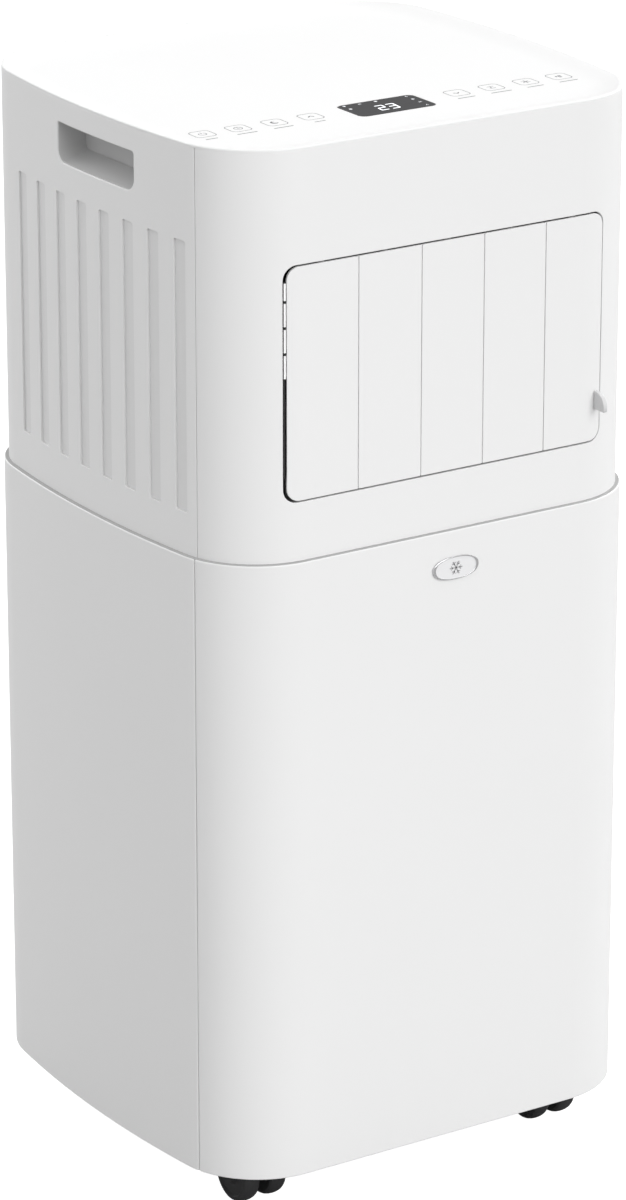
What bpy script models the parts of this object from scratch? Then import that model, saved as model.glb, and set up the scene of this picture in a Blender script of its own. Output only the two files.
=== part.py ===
"""Portable air conditioner standing on four twin-wheel castors.

Metres, +Z up. The front faces -Y and +X is to the right. The origin lies on the floor under the
middle of the object.
"""
import math

import bmesh
import bpy
from mathutils import Matrix, Vector

# Overall size of the body
BODY_WIDTH = 0.332  # lower shell, across the bowed sides
BODY_DEPTH = 0.310  # lower shell, front face to rear face
TOTAL_HEIGHT = 0.700
SKIRT_Z = 0.032  # lower edge of the shells above the floor
STEP_Z = 0.4416  # top edge of the lower shells
CORNER_RADIUS = 0.058
SIDE_RADIUS = 0.865  # the bow of the sides
SEAM_ANGLE = math.radians(-17.5)  # where front and rear shells meet, on the corner's arc
GAP = 0.0003  # between pieces that touch
RUNNING_GAP = 0.0003  # round a shaft

# Shells
SHELL_SETBACK = 0.003  # the upper shell stands this far inside the lower one
LOWER_WALL = 0.0027
UPPER_WALL = 0.003
SHELL_LAP = 0.010  # the upper shell reaches this far down inside the lower one
PROTRUSION = 0.007  # the tab in front and the collar behind stand this far off the lower shell

# Top panel
RIM_HEIGHT = 0.0016
RIM_WIDTH = 0.0027
DISH_DEPTH = 0.0035
DISH_RUN = 0.022  # width of the slope from the rim to the flat floor
TOP_THICKNESS = 0.0025
DISPLAY_SIZE = (0.0563, 0.0314)
DISPLAY_FRONT = 0.050  # from the front face to the near edge of the display
DISPLAY_CORNER = 0.005
LENS_THICKNESS = 0.0012
BOARD_SIZE = (0.200, 0.046, 0.0016)
BOARD_DROP = GAP  # below the top panel

# Side flutes and grips, measured along Y from the middle and up from the step
FLUTE_COUNT = 8
FLUTE_WIDTH = 0.0113
FLUTE_PITCH = 0.02625
FLUTE_MIDDLE = -0.0079
FLUTE_LOW = 0.0271
FLUTE_HIGH = 0.1976
FLUTE_DEPTH = 0.0016
GRIP_WIDTH = 0.0885
GRIP_MIDDLE = -0.0103
GRIP_HEIGHT = 0.0252
GRIP_DROP = 0.0163  # from the top of the body down to the opening
GRIP_DEPTH = 0.028
GRIP_HOOK = 0.005  # the pocket is this much taller behind its lip
GRIP_WALL = 0.0016

# Air outlet with its louvre of upright blades
OUTLET_LEFT = -0.1161
OUTLET_RIGHT = 0.1190
OUTLET_LOW = 0.0375  # above the step
OUTLET_HIGH = 0.1864
OUTLET_CORNER = 0.009
BLADE_COUNT = 5
BLADE_PITCH = 0.04573
BLADE_SPLIT = -0.0632  # the parting line between the first two blades
BLADE_THICKNESS = 0.002
BLADE_GAP = 0.0008
BLADE_LEFT_GAP = 0.0024  # the first blade leaves a wider slit
PIVOT_DEPTH = 0.0065  # blade axes behind the front face
PIVOT_RADIUS = 0.002
CRANK_LENGTH = 0.010
CRANK_WIDTH = 0.005
CRANK_THICKNESS = 0.0028
CRANK_PIN_RADIUS = 0.0015
LINK_WIDTH = 0.006
LINK_THICKNESS = 0.003
TAB_THICKNESS = 0.003
TAB_HEIGHT = 0.0118
TAB_ABOVE_STEP = 0.0590
TAB_INSET = 0.0025  # from the last blade's free edge

# Frame behind the louvre, and the level vanes in it
FRAME_WALL = 0.003
FRAME_RAISE = 0.003  # the frame's tunnel is this much taller than the outlet, at each end
FRAME_DEPTH = 0.074
VANE_COUNT = 5
VANE_CHORD = 0.024
VANE_THICKNESS = 0.002
VANE_DEPTH = 0.048  # vane axes behind the front face
VANE_CRANK = 0.009

# Cold side
EVAPORATOR_DEPTH = 0.030
EVAPORATOR_SETBACK = 0.036  # from the inside of the rear wall
EVAPORATOR_WIDTH = 0.220
SCROLL_WALL = 0.010
SCROLL_CLEAR = 0.004  # between drum and scroll
DRUM_BLADES = 14
DRUM_BLADE = (0.008, 0.0018)
SHAFT_RADIUS = 0.004
UPPER_MOTOR_RADIUS = 0.028
UPPER_MOTOR_LENGTH = 0.024
TRAY_THICKNESS = 0.006
TRAY_ABOVE_STEP = 0.004
BASIN_FLOOR = 0.002
BASIN_MARGIN = 0.0035

# Hot side
PAN_RAISE = 0.006  # underside of the base pan above the castors' wheels
PAN_THICKNESS = 0.003
PAN_WALL = 0.010
COMPRESSOR_RADIUS = 0.050
COMPRESSOR_HEIGHT = 0.185
COMPRESSOR_MARGIN = 0.012  # to the shells
CONDENSER_DEPTH = 0.028
CONDENSER_SETBACK = 0.030
CONDENSER_WIDTH = 0.220
CONDENSER_HEIGHT = 0.170
BLOWER_RADIUS = 0.060
BLOWER_WIDTH = 0.056
BLOWER_CLEAR = 0.006
BLOWER_WALL = 0.0025
BLOWER_BLADES = 12
BLOWER_BLADE = (0.012, 0.002)
COLLAR_OUTER = 0.064
COLLAR_WALL = 0.003
COLLAR_DROP = 0.082  # below the step
COLLAR_FLANGE = 0.010
LOWER_MOTOR_RADIUS = 0.035
LOWER_MOTOR_LENGTH = 0.042
BOX_SIZE = (0.070, 0.040, 0.110)
PIPE_RADIUS = 0.004

# Rear grilles and fittings
FILTER_SIZE = (0.200, 0.150)
FILTER_LOW = 0.040  # above the step
GRILLE_SIZE = (0.200, 0.140)
GRILLE_LOW = 0.050  # above the skirt
GRILLE_SLOTS = 7
GRILLE_BAR = 0.006
GLAND_RADIUS = 0.009
GLAND_X = 0.120
FITTING_Z = 0.022  # above the underside of the pan
DRAIN_RADIUS = 0.009
DRAIN_X = -0.118
FLANGE_THICKNESS = 0.003

# Castors
WHEEL_RADIUS = 0.019
WHEEL_WIDTH = 0.0125
WHEEL_SPACING = 0.020
WHEEL_SIDES = 24
CASTOR_X_INSET = 0.053
CASTOR_Y_INSET = 0.0615
CASTOR_TRAIL = 0.012
HOOD_GAP = 0.0012
HOOD_WALL = 0.0022
STEM_RADIUS = 0.004
STEM_LENGTH = 0.015
AXLE_RADIUS = 0.002
BOSS_RADIUS = 0.009

# Badge
BADGE_SIZE = (0.0337, 0.0150)
BADGE_X = 0.0066
BADGE_DROP = 0.0241  # below the step
BADGE_THICKNESS = 0.0012

# Derived places
FRONT_Y = -BODY_DEPTH / 2
REAR_Y = BODY_DEPTH / 2
UPPER_FRONT_Y = FRONT_Y + SHELL_SETBACK
UPPER_REAR_Y = REAR_Y - SHELL_SETBACK
UPPER_INSIDE = SHELL_SETBACK + UPPER_WALL  # offset of the upper shell's inner face
BOW_CENTRE = BODY_WIDTH / 2 - SIDE_RADIUS
CORNER_Y = BODY_DEPTH / 2 - CORNER_RADIUS
CORNER_X = BOW_CENTRE + math.sqrt((SIDE_RADIUS - CORNER_RADIUS) ** 2 - CORNER_Y**2)
TANGENT_ANGLE = math.atan2(-CORNER_Y, CORNER_X - BOW_CENTRE)
PANEL_Z = TOTAL_HEIGHT - RIM_HEIGHT
FLOOR_Z = TOTAL_HEIGHT - DISH_DEPTH
PAN_Z = 2 * WHEEL_RADIUS + PAN_RAISE
TRAY_Z = STEP_Z + TRAY_ABOVE_STEP
TUNNEL_LOW = STEP_Z + OUTLET_LOW - FRAME_RAISE
TUNNEL_HIGH = STEP_Z + OUTLET_HIGH + FRAME_RAISE
TUNNEL_LEFT = OUTLET_LEFT - GAP
TUNNEL_RIGHT = OUTLET_RIGHT + 0.001
FRAME_BACK = UPPER_FRONT_Y + UPPER_WALL + GAP + FRAME_DEPTH
BLADE_AXIS_Y = UPPER_FRONT_Y + PIVOT_DEPTH
VANE_AXIS_Y = UPPER_FRONT_Y + VANE_DEPTH
EVAPORATOR_BACK = UPPER_REAR_Y - UPPER_WALL - EVAPORATOR_SETBACK
SCROLL_FRONT = FRAME_BACK + GAP
SCROLL_BACK = EVAPORATOR_BACK - EVAPORATOR_DEPTH - GAP
DRUM_Y = (SCROLL_FRONT + SCROLL_BACK) / 2
DRUM_Z = (TUNNEL_LOW + TUNNEL_HIGH) / 2
DRUM_ROOM = min(SCROLL_BACK - SCROLL_FRONT, TUNNEL_HIGH - TUNNEL_LOW)
DRUM_RADIUS = DRUM_ROOM / 2 - SCROLL_CLEAR - SCROLL_WALL
COLLAR_Z = STEP_Z - COLLAR_DROP
BLOWER_Z = COLLAR_Z - 0.012
BOSS_Z = PAN_Z + STEM_LENGTH + PAN_THICKNESS
BLOWER_SHELL = BLOWER_RADIUS + BLOWER_CLEAR
REAR_MOST = REAR_Y + PROTRUSION
FRONT_MOST = FRONT_Y - PROTRUSION


# Materials

def finish(name, colour, roughness, metallic=0.0):
    material = bpy.data.materials.get(name)
    if material is None:
        material = bpy.data.materials.new(name)
        material.use_nodes = True
        shader = material.node_tree.nodes["Principled BSDF"]
        shader.inputs["Base Color"].default_value = (*colour, 1.0)
        shader.inputs["Roughness"].default_value = roughness
        shader.inputs["Metallic"].default_value = metallic
    return material


def white_shell():
    return finish("white_shell", (0.88, 0.88, 0.88), 0.35)


def inner_plastic():
    return finish("inner_plastic", (0.70, 0.71, 0.72), 0.5)


def black_plastic():
    return finish("black_plastic", (0.02, 0.02, 0.022), 0.45)


def grey_tab():
    return finish("grey_tab", (0.62, 0.62, 0.63), 0.4)


def display_black():
    return finish("display_black", (0.012, 0.012, 0.014), 0.12)


def foam():
    return finish("foam", (0.92, 0.92, 0.90), 0.9)


def aluminium_fins():
    return finish("aluminium_fins", (0.75, 0.76, 0.78), 0.35, 0.9)


def copper():
    return finish("copper", (0.80, 0.42, 0.28), 0.3, 1.0)


def painted_steel():
    return finish("painted_steel", (0.04, 0.04, 0.045), 0.4)


def zinc_steel():
    return finish("zinc_steel", (0.60, 0.61, 0.62), 0.35, 1.0)


def board_green():
    return finish("board_green", (0.03, 0.20, 0.09), 0.5)


def rubber():
    return finish("rubber", (0.05, 0.05, 0.05), 0.8)


def satin_badge():
    return finish("satin_badge", (0.66, 0.67, 0.69), 0.25, 0.9)


# Building blocks

def clear_scene():
    for old in list(bpy.data.objects):
        bpy.data.objects.remove(old)


def solid(name, points, faces, material):
    """An object from points and faces, with its faces turned outwards."""
    mesh = bpy.data.meshes.new(name)
    mesh.from_pydata([tuple(p) for p in points], [], faces)
    work = bmesh.new()
    work.from_mesh(mesh)
    bmesh.ops.recalc_face_normals(work, faces=work.faces)
    work.to_mesh(mesh)
    work.free()
    mesh.materials.append(material)
    mesh.shade_smooth()
    mesh.set_sharp_from_angle(angle=math.radians(30))
    thing = bpy.data.objects.new(name, mesh)
    bpy.context.collection.objects.link(thing)
    return thing


def strip(loops, closed, caps):
    """Points and faces of the skin between loops of equal length, one after another."""
    count = len(loops[0])
    points = [p for loop in loops for p in loop]
    faces = []
    for row in range(len(loops) - 1):
        for i in range(count if closed else count - 1):
            j = (i + 1) % count
            faces.append((row * count + i, row * count + j, (row + 1) * count + j, (row + 1) * count + i))
    if caps:
        faces.append(tuple(range(count)))
        faces.append(tuple((len(loops) - 1) * count + i for i in range(count)))
    return points, faces


def loft(name, loops, material):
    """A solid through closed loops, capped at both ends."""
    points, faces = strip(loops, True, True)
    return solid(name, points, faces, material)


def prism(name, outline, low, high, material, axis="Z"):
    """A flat outline carried along one axis. Its two coordinates are the other two axes, in order."""
    place = {
        "X": lambda a, b, t: (t, a, b),
        "Y": lambda a, b, t: (a, t, b),
        "Z": lambda a, b, t: (a, b, t),
    }[axis]
    loops = [[place(a, b, t) for a, b in outline] for t in (low, high)]
    return loft(name, loops, material)


def box(name, low, high, material):
    outline = [(low[0], low[1]), (high[0], low[1]), (high[0], high[1]), (low[0], high[1])]
    return prism(name, outline, low[2], high[2], material)


def circle(a, b, radius, sides=16, turn=0.0):
    steps = [turn + 2 * math.pi * i / sides for i in range(sides)]
    return [(a + radius * math.cos(t), b + radius * math.sin(t)) for t in steps]


def rounded(left, right, low, high, radius, steps=4):
    corners = [(right - radius, low + radius, -90), (right - radius, high - radius, 0)]
    corners += [(left + radius, high - radius, 90), (left + radius, low + radius, 180)]
    points = []
    for a, b, start in corners:
        for i in range(steps + 1):
            t = math.radians(start + 90 * i / steps)
            points.append((a + radius * math.cos(t), b + radius * math.sin(t)))
    return points


def wall(name, outer, inner, low, high, material, closed=False):
    """An upright wall between two matching curves, from low to high."""
    loops = [
        [(x, y, low) for x, y in outer],
        [(x, y, high) for x, y in outer],
        [(x, y, high) for x, y in inner],
        [(x, y, low) for x, y in inner],
    ]
    loops.append(loops[0])
    count = len(outer)
    points = [p for loop in loops[:4] for p in loop]
    faces = []
    for row in range(4):
        after = (row + 1) % 4
        for i in range(count if closed else count - 1):
            j = (i + 1) % count
            faces.append((row * count + i, row * count + j, after * count + j, after * count + i))
    if not closed:
        faces.append(tuple(row * count for row in range(4)))
        faces.append(tuple(row * count + count - 1 for row in range(4)))
    return solid(name, points, faces, material)


def combine(target, operation, helpers):
    """Joins helpers to a solid, or cuts them from it."""
    group = bpy.data.collections.new(f"{target.name}_{operation.lower()}")
    bpy.context.scene.collection.children.link(group)
    for helper in helpers:
        for holder in list(helper.users_collection):
            holder.objects.unlink(helper)
        group.objects.link(helper)
        helper.hide_render = True
        helper.display_type = "WIRE"
    modifier = target.modifiers.new(operation.lower(), "BOOLEAN")
    modifier.operation = operation
    modifier.solver = "EXACT"
    modifier.operand_type = "COLLECTION"
    modifier.collection = group
    return target


def pivot_at(thing, *place):
    """Moves the object's origin to its joint and leaves its shape where it is."""
    place = Vector(place)
    thing.data.transform(Matrix.Translation(-place))
    thing.location = place


# The body's plan: a flat front and back, round corners and bowed sides

def corner_arc(offset, start, end, steps):
    """Points on the right-hand front corner, from one angle to another."""
    radius = CORNER_RADIUS - offset
    angles = [start + (end - start) * i / steps for i in range(steps + 1)]
    return [(CORNER_X + radius * math.cos(t), -CORNER_Y + radius * math.sin(t)) for t in angles]


def bow(offset, steps):
    """Points on the right-hand side, from the front corner to the rear one."""
    radius = SIDE_RADIUS - offset
    angles = [TANGENT_ANGLE * (1 - 2 * i / steps) for i in range(steps + 1)]
    return [(BOW_CENTRE + radius * math.cos(t), radius * math.sin(t)) for t in angles]


def mirrored_x(points):
    return [(-x, y) for x, y in reversed(points)]


def mirrored_y(points):
    return [(x, -y) for x, y in reversed(points)]


def front_curve(offset):
    """From the left seam round the front to the right seam."""
    seam = SEAM_ANGLE - GAP / 2 / CORNER_RADIUS
    right = corner_arc(offset, -math.pi / 2, seam, 6)
    return mirrored_x(right) + right


def rear_curve(offset):
    """From the right seam round the back to the left seam."""
    seam = SEAM_ANGLE + GAP / 2 / CORNER_RADIUS
    right = corner_arc(offset, seam, TANGENT_ANGLE, 2) + bow(offset, 8)[1:]
    right += mirrored_y(corner_arc(offset, -math.pi / 2, TANGENT_ANGLE, 7))[1:]
    return right + mirrored_x(right)


def full_curve(offset):
    right = corner_arc(offset, -math.pi / 2, TANGENT_ANGLE, 7) + bow(offset, 8)[1:]
    right += mirrored_y(corner_arc(offset, -math.pi / 2, TANGENT_ANGLE, 7))[1:]
    return right + mirrored_x(right)


def front_y(x, offset):
    """The front face at a distance x from the middle."""
    radius = CORNER_RADIUS - offset
    over = max(0.0, abs(x) - CORNER_X)
    return -CORNER_Y - math.sqrt(radius**2 - over**2)


def side_x(y, offset):
    """The right-hand side at a place along the depth."""
    reach = (SIDE_RADIUS - offset) * math.sin(-TANGENT_ANGLE)
    if abs(y) <= reach:
        return BOW_CENTRE + math.sqrt((SIDE_RADIUS - offset) ** 2 - y * y)
    radius = CORNER_RADIUS - offset
    return CORNER_X + math.sqrt(max(0.0, radius**2 - (abs(y) - CORNER_Y) ** 2))


# Shells

def lower_front_cover():
    outer, inner = front_curve(0.0), front_curve(LOWER_WALL)
    return wall("lower_front_cover", outer, inner, SKIRT_Z, STEP_Z, white_shell())


def lower_rear_cover():
    outer, inner = rear_curve(0.0), rear_curve(LOWER_WALL)
    cover = wall("lower_rear_cover", outer, inner, SKIRT_Z, STEP_Z, white_shell())
    deep, past = REAR_Y - 0.02, REAR_Y + 0.02
    half = GRILLE_SIZE[0] / 2
    low = SKIRT_Z + GRILLE_LOW
    collar = circle(0, COLLAR_Z, COLLAR_OUTER + GAP, 32)
    grille = rounded(-half, half, low, low + GRILLE_SIZE[1], 0.008)
    gland = circle(GLAND_X, PAN_Z + FITTING_Z, GLAND_RADIUS + GAP)
    drain = circle(DRAIN_X, PAN_Z + FITTING_Z, DRAIN_RADIUS + GAP)
    cuts = [
        prism("collar_hole", collar, deep, past, rubber(), "Y"),
        prism("grille_hole", grille, deep, past, rubber(), "Y"),
        prism("gland_hole", gland, 0.08, past, rubber(), "Y"),
        prism("drain_hole", drain, 0.08, past, rubber(), "Y"),
    ]
    return combine(cover, "DIFFERENCE", cuts)


def upper_front_cover():
    outer, inner = front_curve(SHELL_SETBACK), front_curve(UPPER_INSIDE)
    cover = wall("upper_front_cover", outer, inner, STEP_Z - SHELL_LAP, PANEL_Z - GAP, white_shell())
    outline = rounded(OUTLET_LEFT, OUTLET_RIGHT, STEP_Z + OUTLET_LOW, STEP_Z + OUTLET_HIGH, OUTLET_CORNER)
    cut = prism("outlet_cut", outline, UPPER_FRONT_Y - 0.01, UPPER_FRONT_Y + 0.015, rubber(), "Y")
    return combine(cover, "DIFFERENCE", [cut])


def flute(side, index):
    """The cutter of one upright flute in a bowed side."""
    middle = FLUTE_MIDDLE + (index - (FLUTE_COUNT - 1) / 2) * FLUTE_PITCH
    ends = (middle - FLUTE_WIDTH / 2, middle + FLUTE_WIDTH / 2)
    floor = SHELL_SETBACK + FLUTE_DEPTH
    outline = [(side * side_x(y, floor), y) for y in ends]
    outline += [(side * (side_x(y, floor) + 0.01), y) for y in reversed(ends)]
    return prism(f"flute_{side}_{index}", outline, STEP_Z + FLUTE_LOW, STEP_Z + FLUTE_HIGH, rubber())


def upper_rear_cover():
    outer, inner = rear_curve(SHELL_SETBACK), rear_curve(UPPER_INSIDE)
    cover = wall("upper_rear_cover", outer, inner, STEP_Z - SHELL_LAP, PANEL_Z - GAP, white_shell())
    cuts = [flute(side, i) for side in (-1, 1) for i in range(FLUTE_COUNT)]
    half = FILTER_SIZE[0] / 2
    low = STEP_Z + FILTER_LOW
    deep = UPPER_REAR_Y - 0.02
    outline = rounded(-half, half, low, low + FILTER_SIZE[1], 0.008)
    cuts.append(prism("filter_hole", outline, deep, REAR_Y + 0.02, rubber(), "Y"))
    for side in (-1, 1):
        ends = sorted((side * 0.10, side * 0.20))
        cuts.append(prism(f"grip_hole_{side}", grip_outline(0.0), *ends, rubber(), "X"))
    return combine(cover, "DIFFERENCE", cuts)


def grip_outline(shrink):
    """The grip's opening in side view, square above and round below."""
    left = GRIP_MIDDLE - GRIP_WIDTH / 2 + shrink
    right = GRIP_MIDDLE + GRIP_WIDTH / 2 - shrink
    high = TOTAL_HEIGHT - GRIP_DROP - shrink
    low = TOTAL_HEIGHT - GRIP_DROP - GRIP_HEIGHT + shrink
    radius = 0.008
    points = [(left, high), (left, low + radius)]
    for a, start in ((left + radius, 180), (right - radius, 270)):
        for i in range(1, 4):
            t = math.radians(start + 30 * i)
            points.append((a + radius * math.cos(t), low + radius + radius * math.sin(t)))
    points.append((right, high))
    return points


def grip_pocket(side):
    """A moulded cup behind the opening, taller inside so that fingers hook over its lip."""
    name = "grip_pocket_left" if side < 0 else "grip_pocket_right"
    face = min(side_x(GRIP_MIDDLE + s * GRIP_WIDTH / 2, SHELL_SETBACK) for s in (-1, 1)) - 0.001
    back = side_x(GRIP_MIDDLE, SHELL_SETBACK) - GRIP_DEPTH
    lip = side_x(0, UPPER_INSIDE) + GAP
    inside = min(side_x(GRIP_MIDDLE + s * GRIP_WIDTH / 2, UPPER_INSIDE) for s in (-1, 1)) - GAP
    low = TOTAL_HEIGHT - GRIP_DROP - GRIP_HEIGHT - GRIP_WALL
    high = TOTAL_HEIGHT - GRIP_DROP + GRIP_HOOK
    near, far = GRIP_MIDDLE - GRIP_WIDTH / 2, GRIP_MIDDLE + GRIP_WIDTH / 2

    def spans(a, b):
        return sorted((side * a, side * b))

    body_x = spans(back, inside)
    cup = box(name, (body_x[0], near - GRIP_WALL, low), (body_x[1], far + GRIP_WALL, high), white_shell())
    neck = prism(f"{name}_neck", grip_outline(GAP), *spans(inside - 0.003, face), white_shell(), "X")
    combine(cup, "UNION", [neck])
    deep = spans(back + GRIP_WALL, lip + 0.02)
    mouth = prism(f"{name}_mouth", grip_outline(GAP + GRIP_WALL), *deep, rubber(), "X")
    hook_x = spans(back + GRIP_WALL, inside - GRIP_WALL)
    hook_low = TOTAL_HEIGHT - GRIP_DROP - GRIP_HEIGHT / 2
    hook = box(
        f"{name}_hook",
        (hook_x[0], near + GAP + GRIP_WALL, hook_low),
        (hook_x[1], far - GAP - GRIP_WALL, high - GRIP_WALL),
        rubber(),
    )
    return combine(cup, "DIFFERENCE", [mouth, hook])


def top_panel():
    """A dished tray with a narrow raised rim, resting on the upper shells."""
    rim_in = SHELL_SETBACK + RIM_WIDTH
    under = FLOOR_Z - TOP_THICKNESS
    section = [
        (UPPER_INSIDE + GAP, under),
        (UPPER_INSIDE + GAP, PANEL_Z),
        (SHELL_SETBACK, PANEL_Z),
        (SHELL_SETBACK, TOTAL_HEIGHT - 0.0012),
        (SHELL_SETBACK + 0.0012, TOTAL_HEIGHT),
        (rim_in, TOTAL_HEIGHT),
        (rim_in + DISH_RUN * 0.3, TOTAL_HEIGHT - DISH_DEPTH * 0.55),
        (rim_in + DISH_RUN, FLOOR_Z),
    ]
    loops = [[(x, y, z) for x, y in full_curve(offset)] for offset, z in section]
    panel = loft("top_panel", loops, white_shell())
    half = DISPLAY_SIZE[0] / 2
    near = UPPER_FRONT_Y + DISPLAY_FRONT
    outline = rounded(-half, half, near, near + DISPLAY_SIZE[1], DISPLAY_CORNER)
    cut = prism("display_pocket", outline, FLOOR_Z - LENS_THICKNESS - GAP, FLOOR_Z + 0.01, rubber())
    return combine(panel, "DIFFERENCE", [cut])


def display_lens():
    half = DISPLAY_SIZE[0] / 2 - GAP
    near = UPPER_FRONT_Y + DISPLAY_FRONT
    outline = rounded(-half, half, near + GAP, near + DISPLAY_SIZE[1] - GAP, DISPLAY_CORNER)
    return prism("display_lens", outline, FLOOR_Z - LENS_THICKNESS, FLOOR_Z, display_black())


def control_board():
    top = FLOOR_Z - TOP_THICKNESS - BOARD_DROP
    half = BOARD_SIZE[0] / 2
    near = UPPER_FRONT_Y + DISPLAY_FRONT - (BOARD_SIZE[1] - DISPLAY_SIZE[1]) / 2
    low = (-half, near, top - BOARD_SIZE[2])
    return box("control_board", low, (half, near + BOARD_SIZE[1], top), board_green())


def badge_plate():
    half, tall = BADGE_SIZE[0] / 2, BADGE_SIZE[1] / 2
    z = STEP_Z - BADGE_DROP
    outline = rounded(BADGE_X - half, BADGE_X + half, z - tall, z + tall, tall * 0.98, 5)
    near = FRONT_Y - GAP - BADGE_THICKNESS
    return prism("badge_plate", outline, near, FRONT_Y - GAP, satin_badge(), "Y")


# Louvre

def blade_axis(index):
    return BLADE_SPLIT + (index - 0.5) * BLADE_PITCH


def blade_edges(index):
    left = BLADE_SPLIT + (index - 1) * BLADE_PITCH + BLADE_GAP / 2
    right = BLADE_SPLIT + index * BLADE_PITCH - BLADE_GAP / 2
    if index == 0:
        left = OUTLET_LEFT + BLADE_LEFT_GAP
    if index == BLADE_COUNT - 1:
        right = OUTLET_RIGHT - BLADE_GAP
    return left, right


def blade_levels():
    """Heights from the link below the frame up to the top bearing."""
    plate_low = STEP_Z + OUTLET_LOW + BLADE_GAP
    plate_high = STEP_Z + OUTLET_HIGH - BLADE_GAP
    crank_high = TUNNEL_LOW - FRAME_WALL - 0.0007
    crank_low = crank_high - CRANK_THICKNESS
    return plate_low, plate_high, crank_high, crank_low


def blade_plate(index):
    """The blade's plate follows the front face; the outer blades have the outlet's round corners."""
    left, right = blade_edges(index)
    low, high, _, _ = blade_levels()
    steps = [left + (right - left) * i / 6 for i in range(7)]
    outer = [(x, front_y(x, SHELL_SETBACK)) for x in steps]
    inner = [(x, front_y(x, SHELL_SETBACK + BLADE_THICKNESS)) for x in steps]
    plate = wall(f"louvre_blade_{index + 1}", outer, inner, low, high, white_shell())
    radius = OUTLET_CORNER - BLADE_GAP
    if index in (0, BLADE_COUNT - 1):
        wide = 0.1
        span = (left, right + wide) if index == 0 else (left - wide, right)
        outline = rounded(*span, low, high, radius)
        ends = (UPPER_FRONT_Y - 0.01, UPPER_FRONT_Y + 0.02)
        keep = prism(f"{plate.name}_outline", outline, *ends, rubber(), "Y")
        combine(plate, "INTERSECT", [keep])
    return plate


def louvre_blade(index):
    """A plate on an upright spine, with a crank below the frame."""
    plate = blade_plate(index)
    low, high, crank_high, crank_low = blade_levels()
    x, y = blade_axis(index), BLADE_AXIS_Y
    top = TUNNEL_HIGH + FRAME_WALL - 0.0005
    name = plate.name
    half = CRANK_WIDTH / 2
    pin = circle(x, y + CRANK_LENGTH, CRANK_PIN_RADIUS, 12)
    rib_low = (x - 0.0012, y - PIVOT_DEPTH + 0.001, low + 0.004)
    arm_low = (x - half, y - half + 0.0003, crank_low)
    helpers = [
        box(f"{name}_rib", rib_low, (x + 0.0012, y, high - 0.004), rubber()),
        prism(f"{name}_spine", circle(x, y, PIVOT_RADIUS, 12), crank_low, top, rubber()),
        box(f"{name}_arm", arm_low, (x + half, y + CRANK_LENGTH + half, crank_high), rubber()),
        prism(f"{name}_pin", pin, crank_low - LINK_THICKNESS - 0.0011, crank_low + 0.001, rubber()),
    ]
    combine(plate, "UNION", helpers)
    if index == BLADE_COUNT - 1:
        combine(plate, "DIFFERENCE", [tab_root("tab_slot", GAP)])
    return plate


def tab_place():
    right = blade_edges(BLADE_COUNT - 1)[1]
    high = STEP_Z + TAB_ABOVE_STEP + TAB_HEIGHT
    return right - TAB_INSET - TAB_THICKNESS, right - TAB_INSET, high - TAB_HEIGHT, high


def tab_root(name, grow):
    """The tongue that holds the tab in the last blade."""
    left, right, low, high = tab_place()
    middle = (low + high) / 2
    back = front_y(right, SHELL_SETBACK + BLADE_THICKNESS)
    near = (left + 0.0006 - grow, FRONT_Y - 0.001, middle - 0.003 - grow)
    far = (right - 0.0006 + grow, back + 0.0005, middle + 0.003 + grow)
    return box(name, near, far, grey_tab())


def louvre_tab():
    """A finger tab: a quarter round in side view, widest at its flat lower edge."""
    left, right, low, high = tab_place()
    root = front_y(left, SHELL_SETBACK) - GAP
    reach = root - FRONT_MOST
    foot = 0.003
    outline = [(root, high), (root, low), (FRONT_MOST, low), (FRONT_MOST, low + foot)]
    for i in range(1, 6):
        t = math.pi / 2 * i / 6
        y = FRONT_MOST + reach * (1 - math.cos(t))
        outline.append((y, low + foot + (high - low - foot) * math.sin(t)))
    tab = prism("louvre_tab", outline, left, right, grey_tab(), "X")
    return combine(tab, "UNION", [tab_root("tab_tongue", 0.0)])


def bores(prefix, places, radius, low, high, axis):
    """Cutters for a row of round holes."""
    rows = enumerate(places)
    return [prism(f"{prefix}_{i}", circle(a, b, radius, 12), low, high, rubber(), axis) for i, (a, b) in rows]


def louvre_link():
    """The bar that ties the five blade cranks together."""
    _, _, _, crank_low = blade_levels()
    high = crank_low - 0.0005
    y = BLADE_AXIS_Y + CRANK_LENGTH
    first, last = blade_axis(0), blade_axis(BLADE_COUNT - 1)
    half = LINK_WIDTH / 2
    outline = rounded(first - half, last + half, y - half, y + half, half * 0.98)
    bar = prism("louvre_link", outline, high - LINK_THICKNESS, high, black_plastic())
    places = [(blade_axis(i), y) for i in range(BLADE_COUNT)]
    holes = bores("link_hole", places, CRANK_PIN_RADIUS + RUNNING_GAP, high - 0.01, high + 0.01, "Z")
    return combine(bar, "DIFFERENCE", holes)


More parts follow.
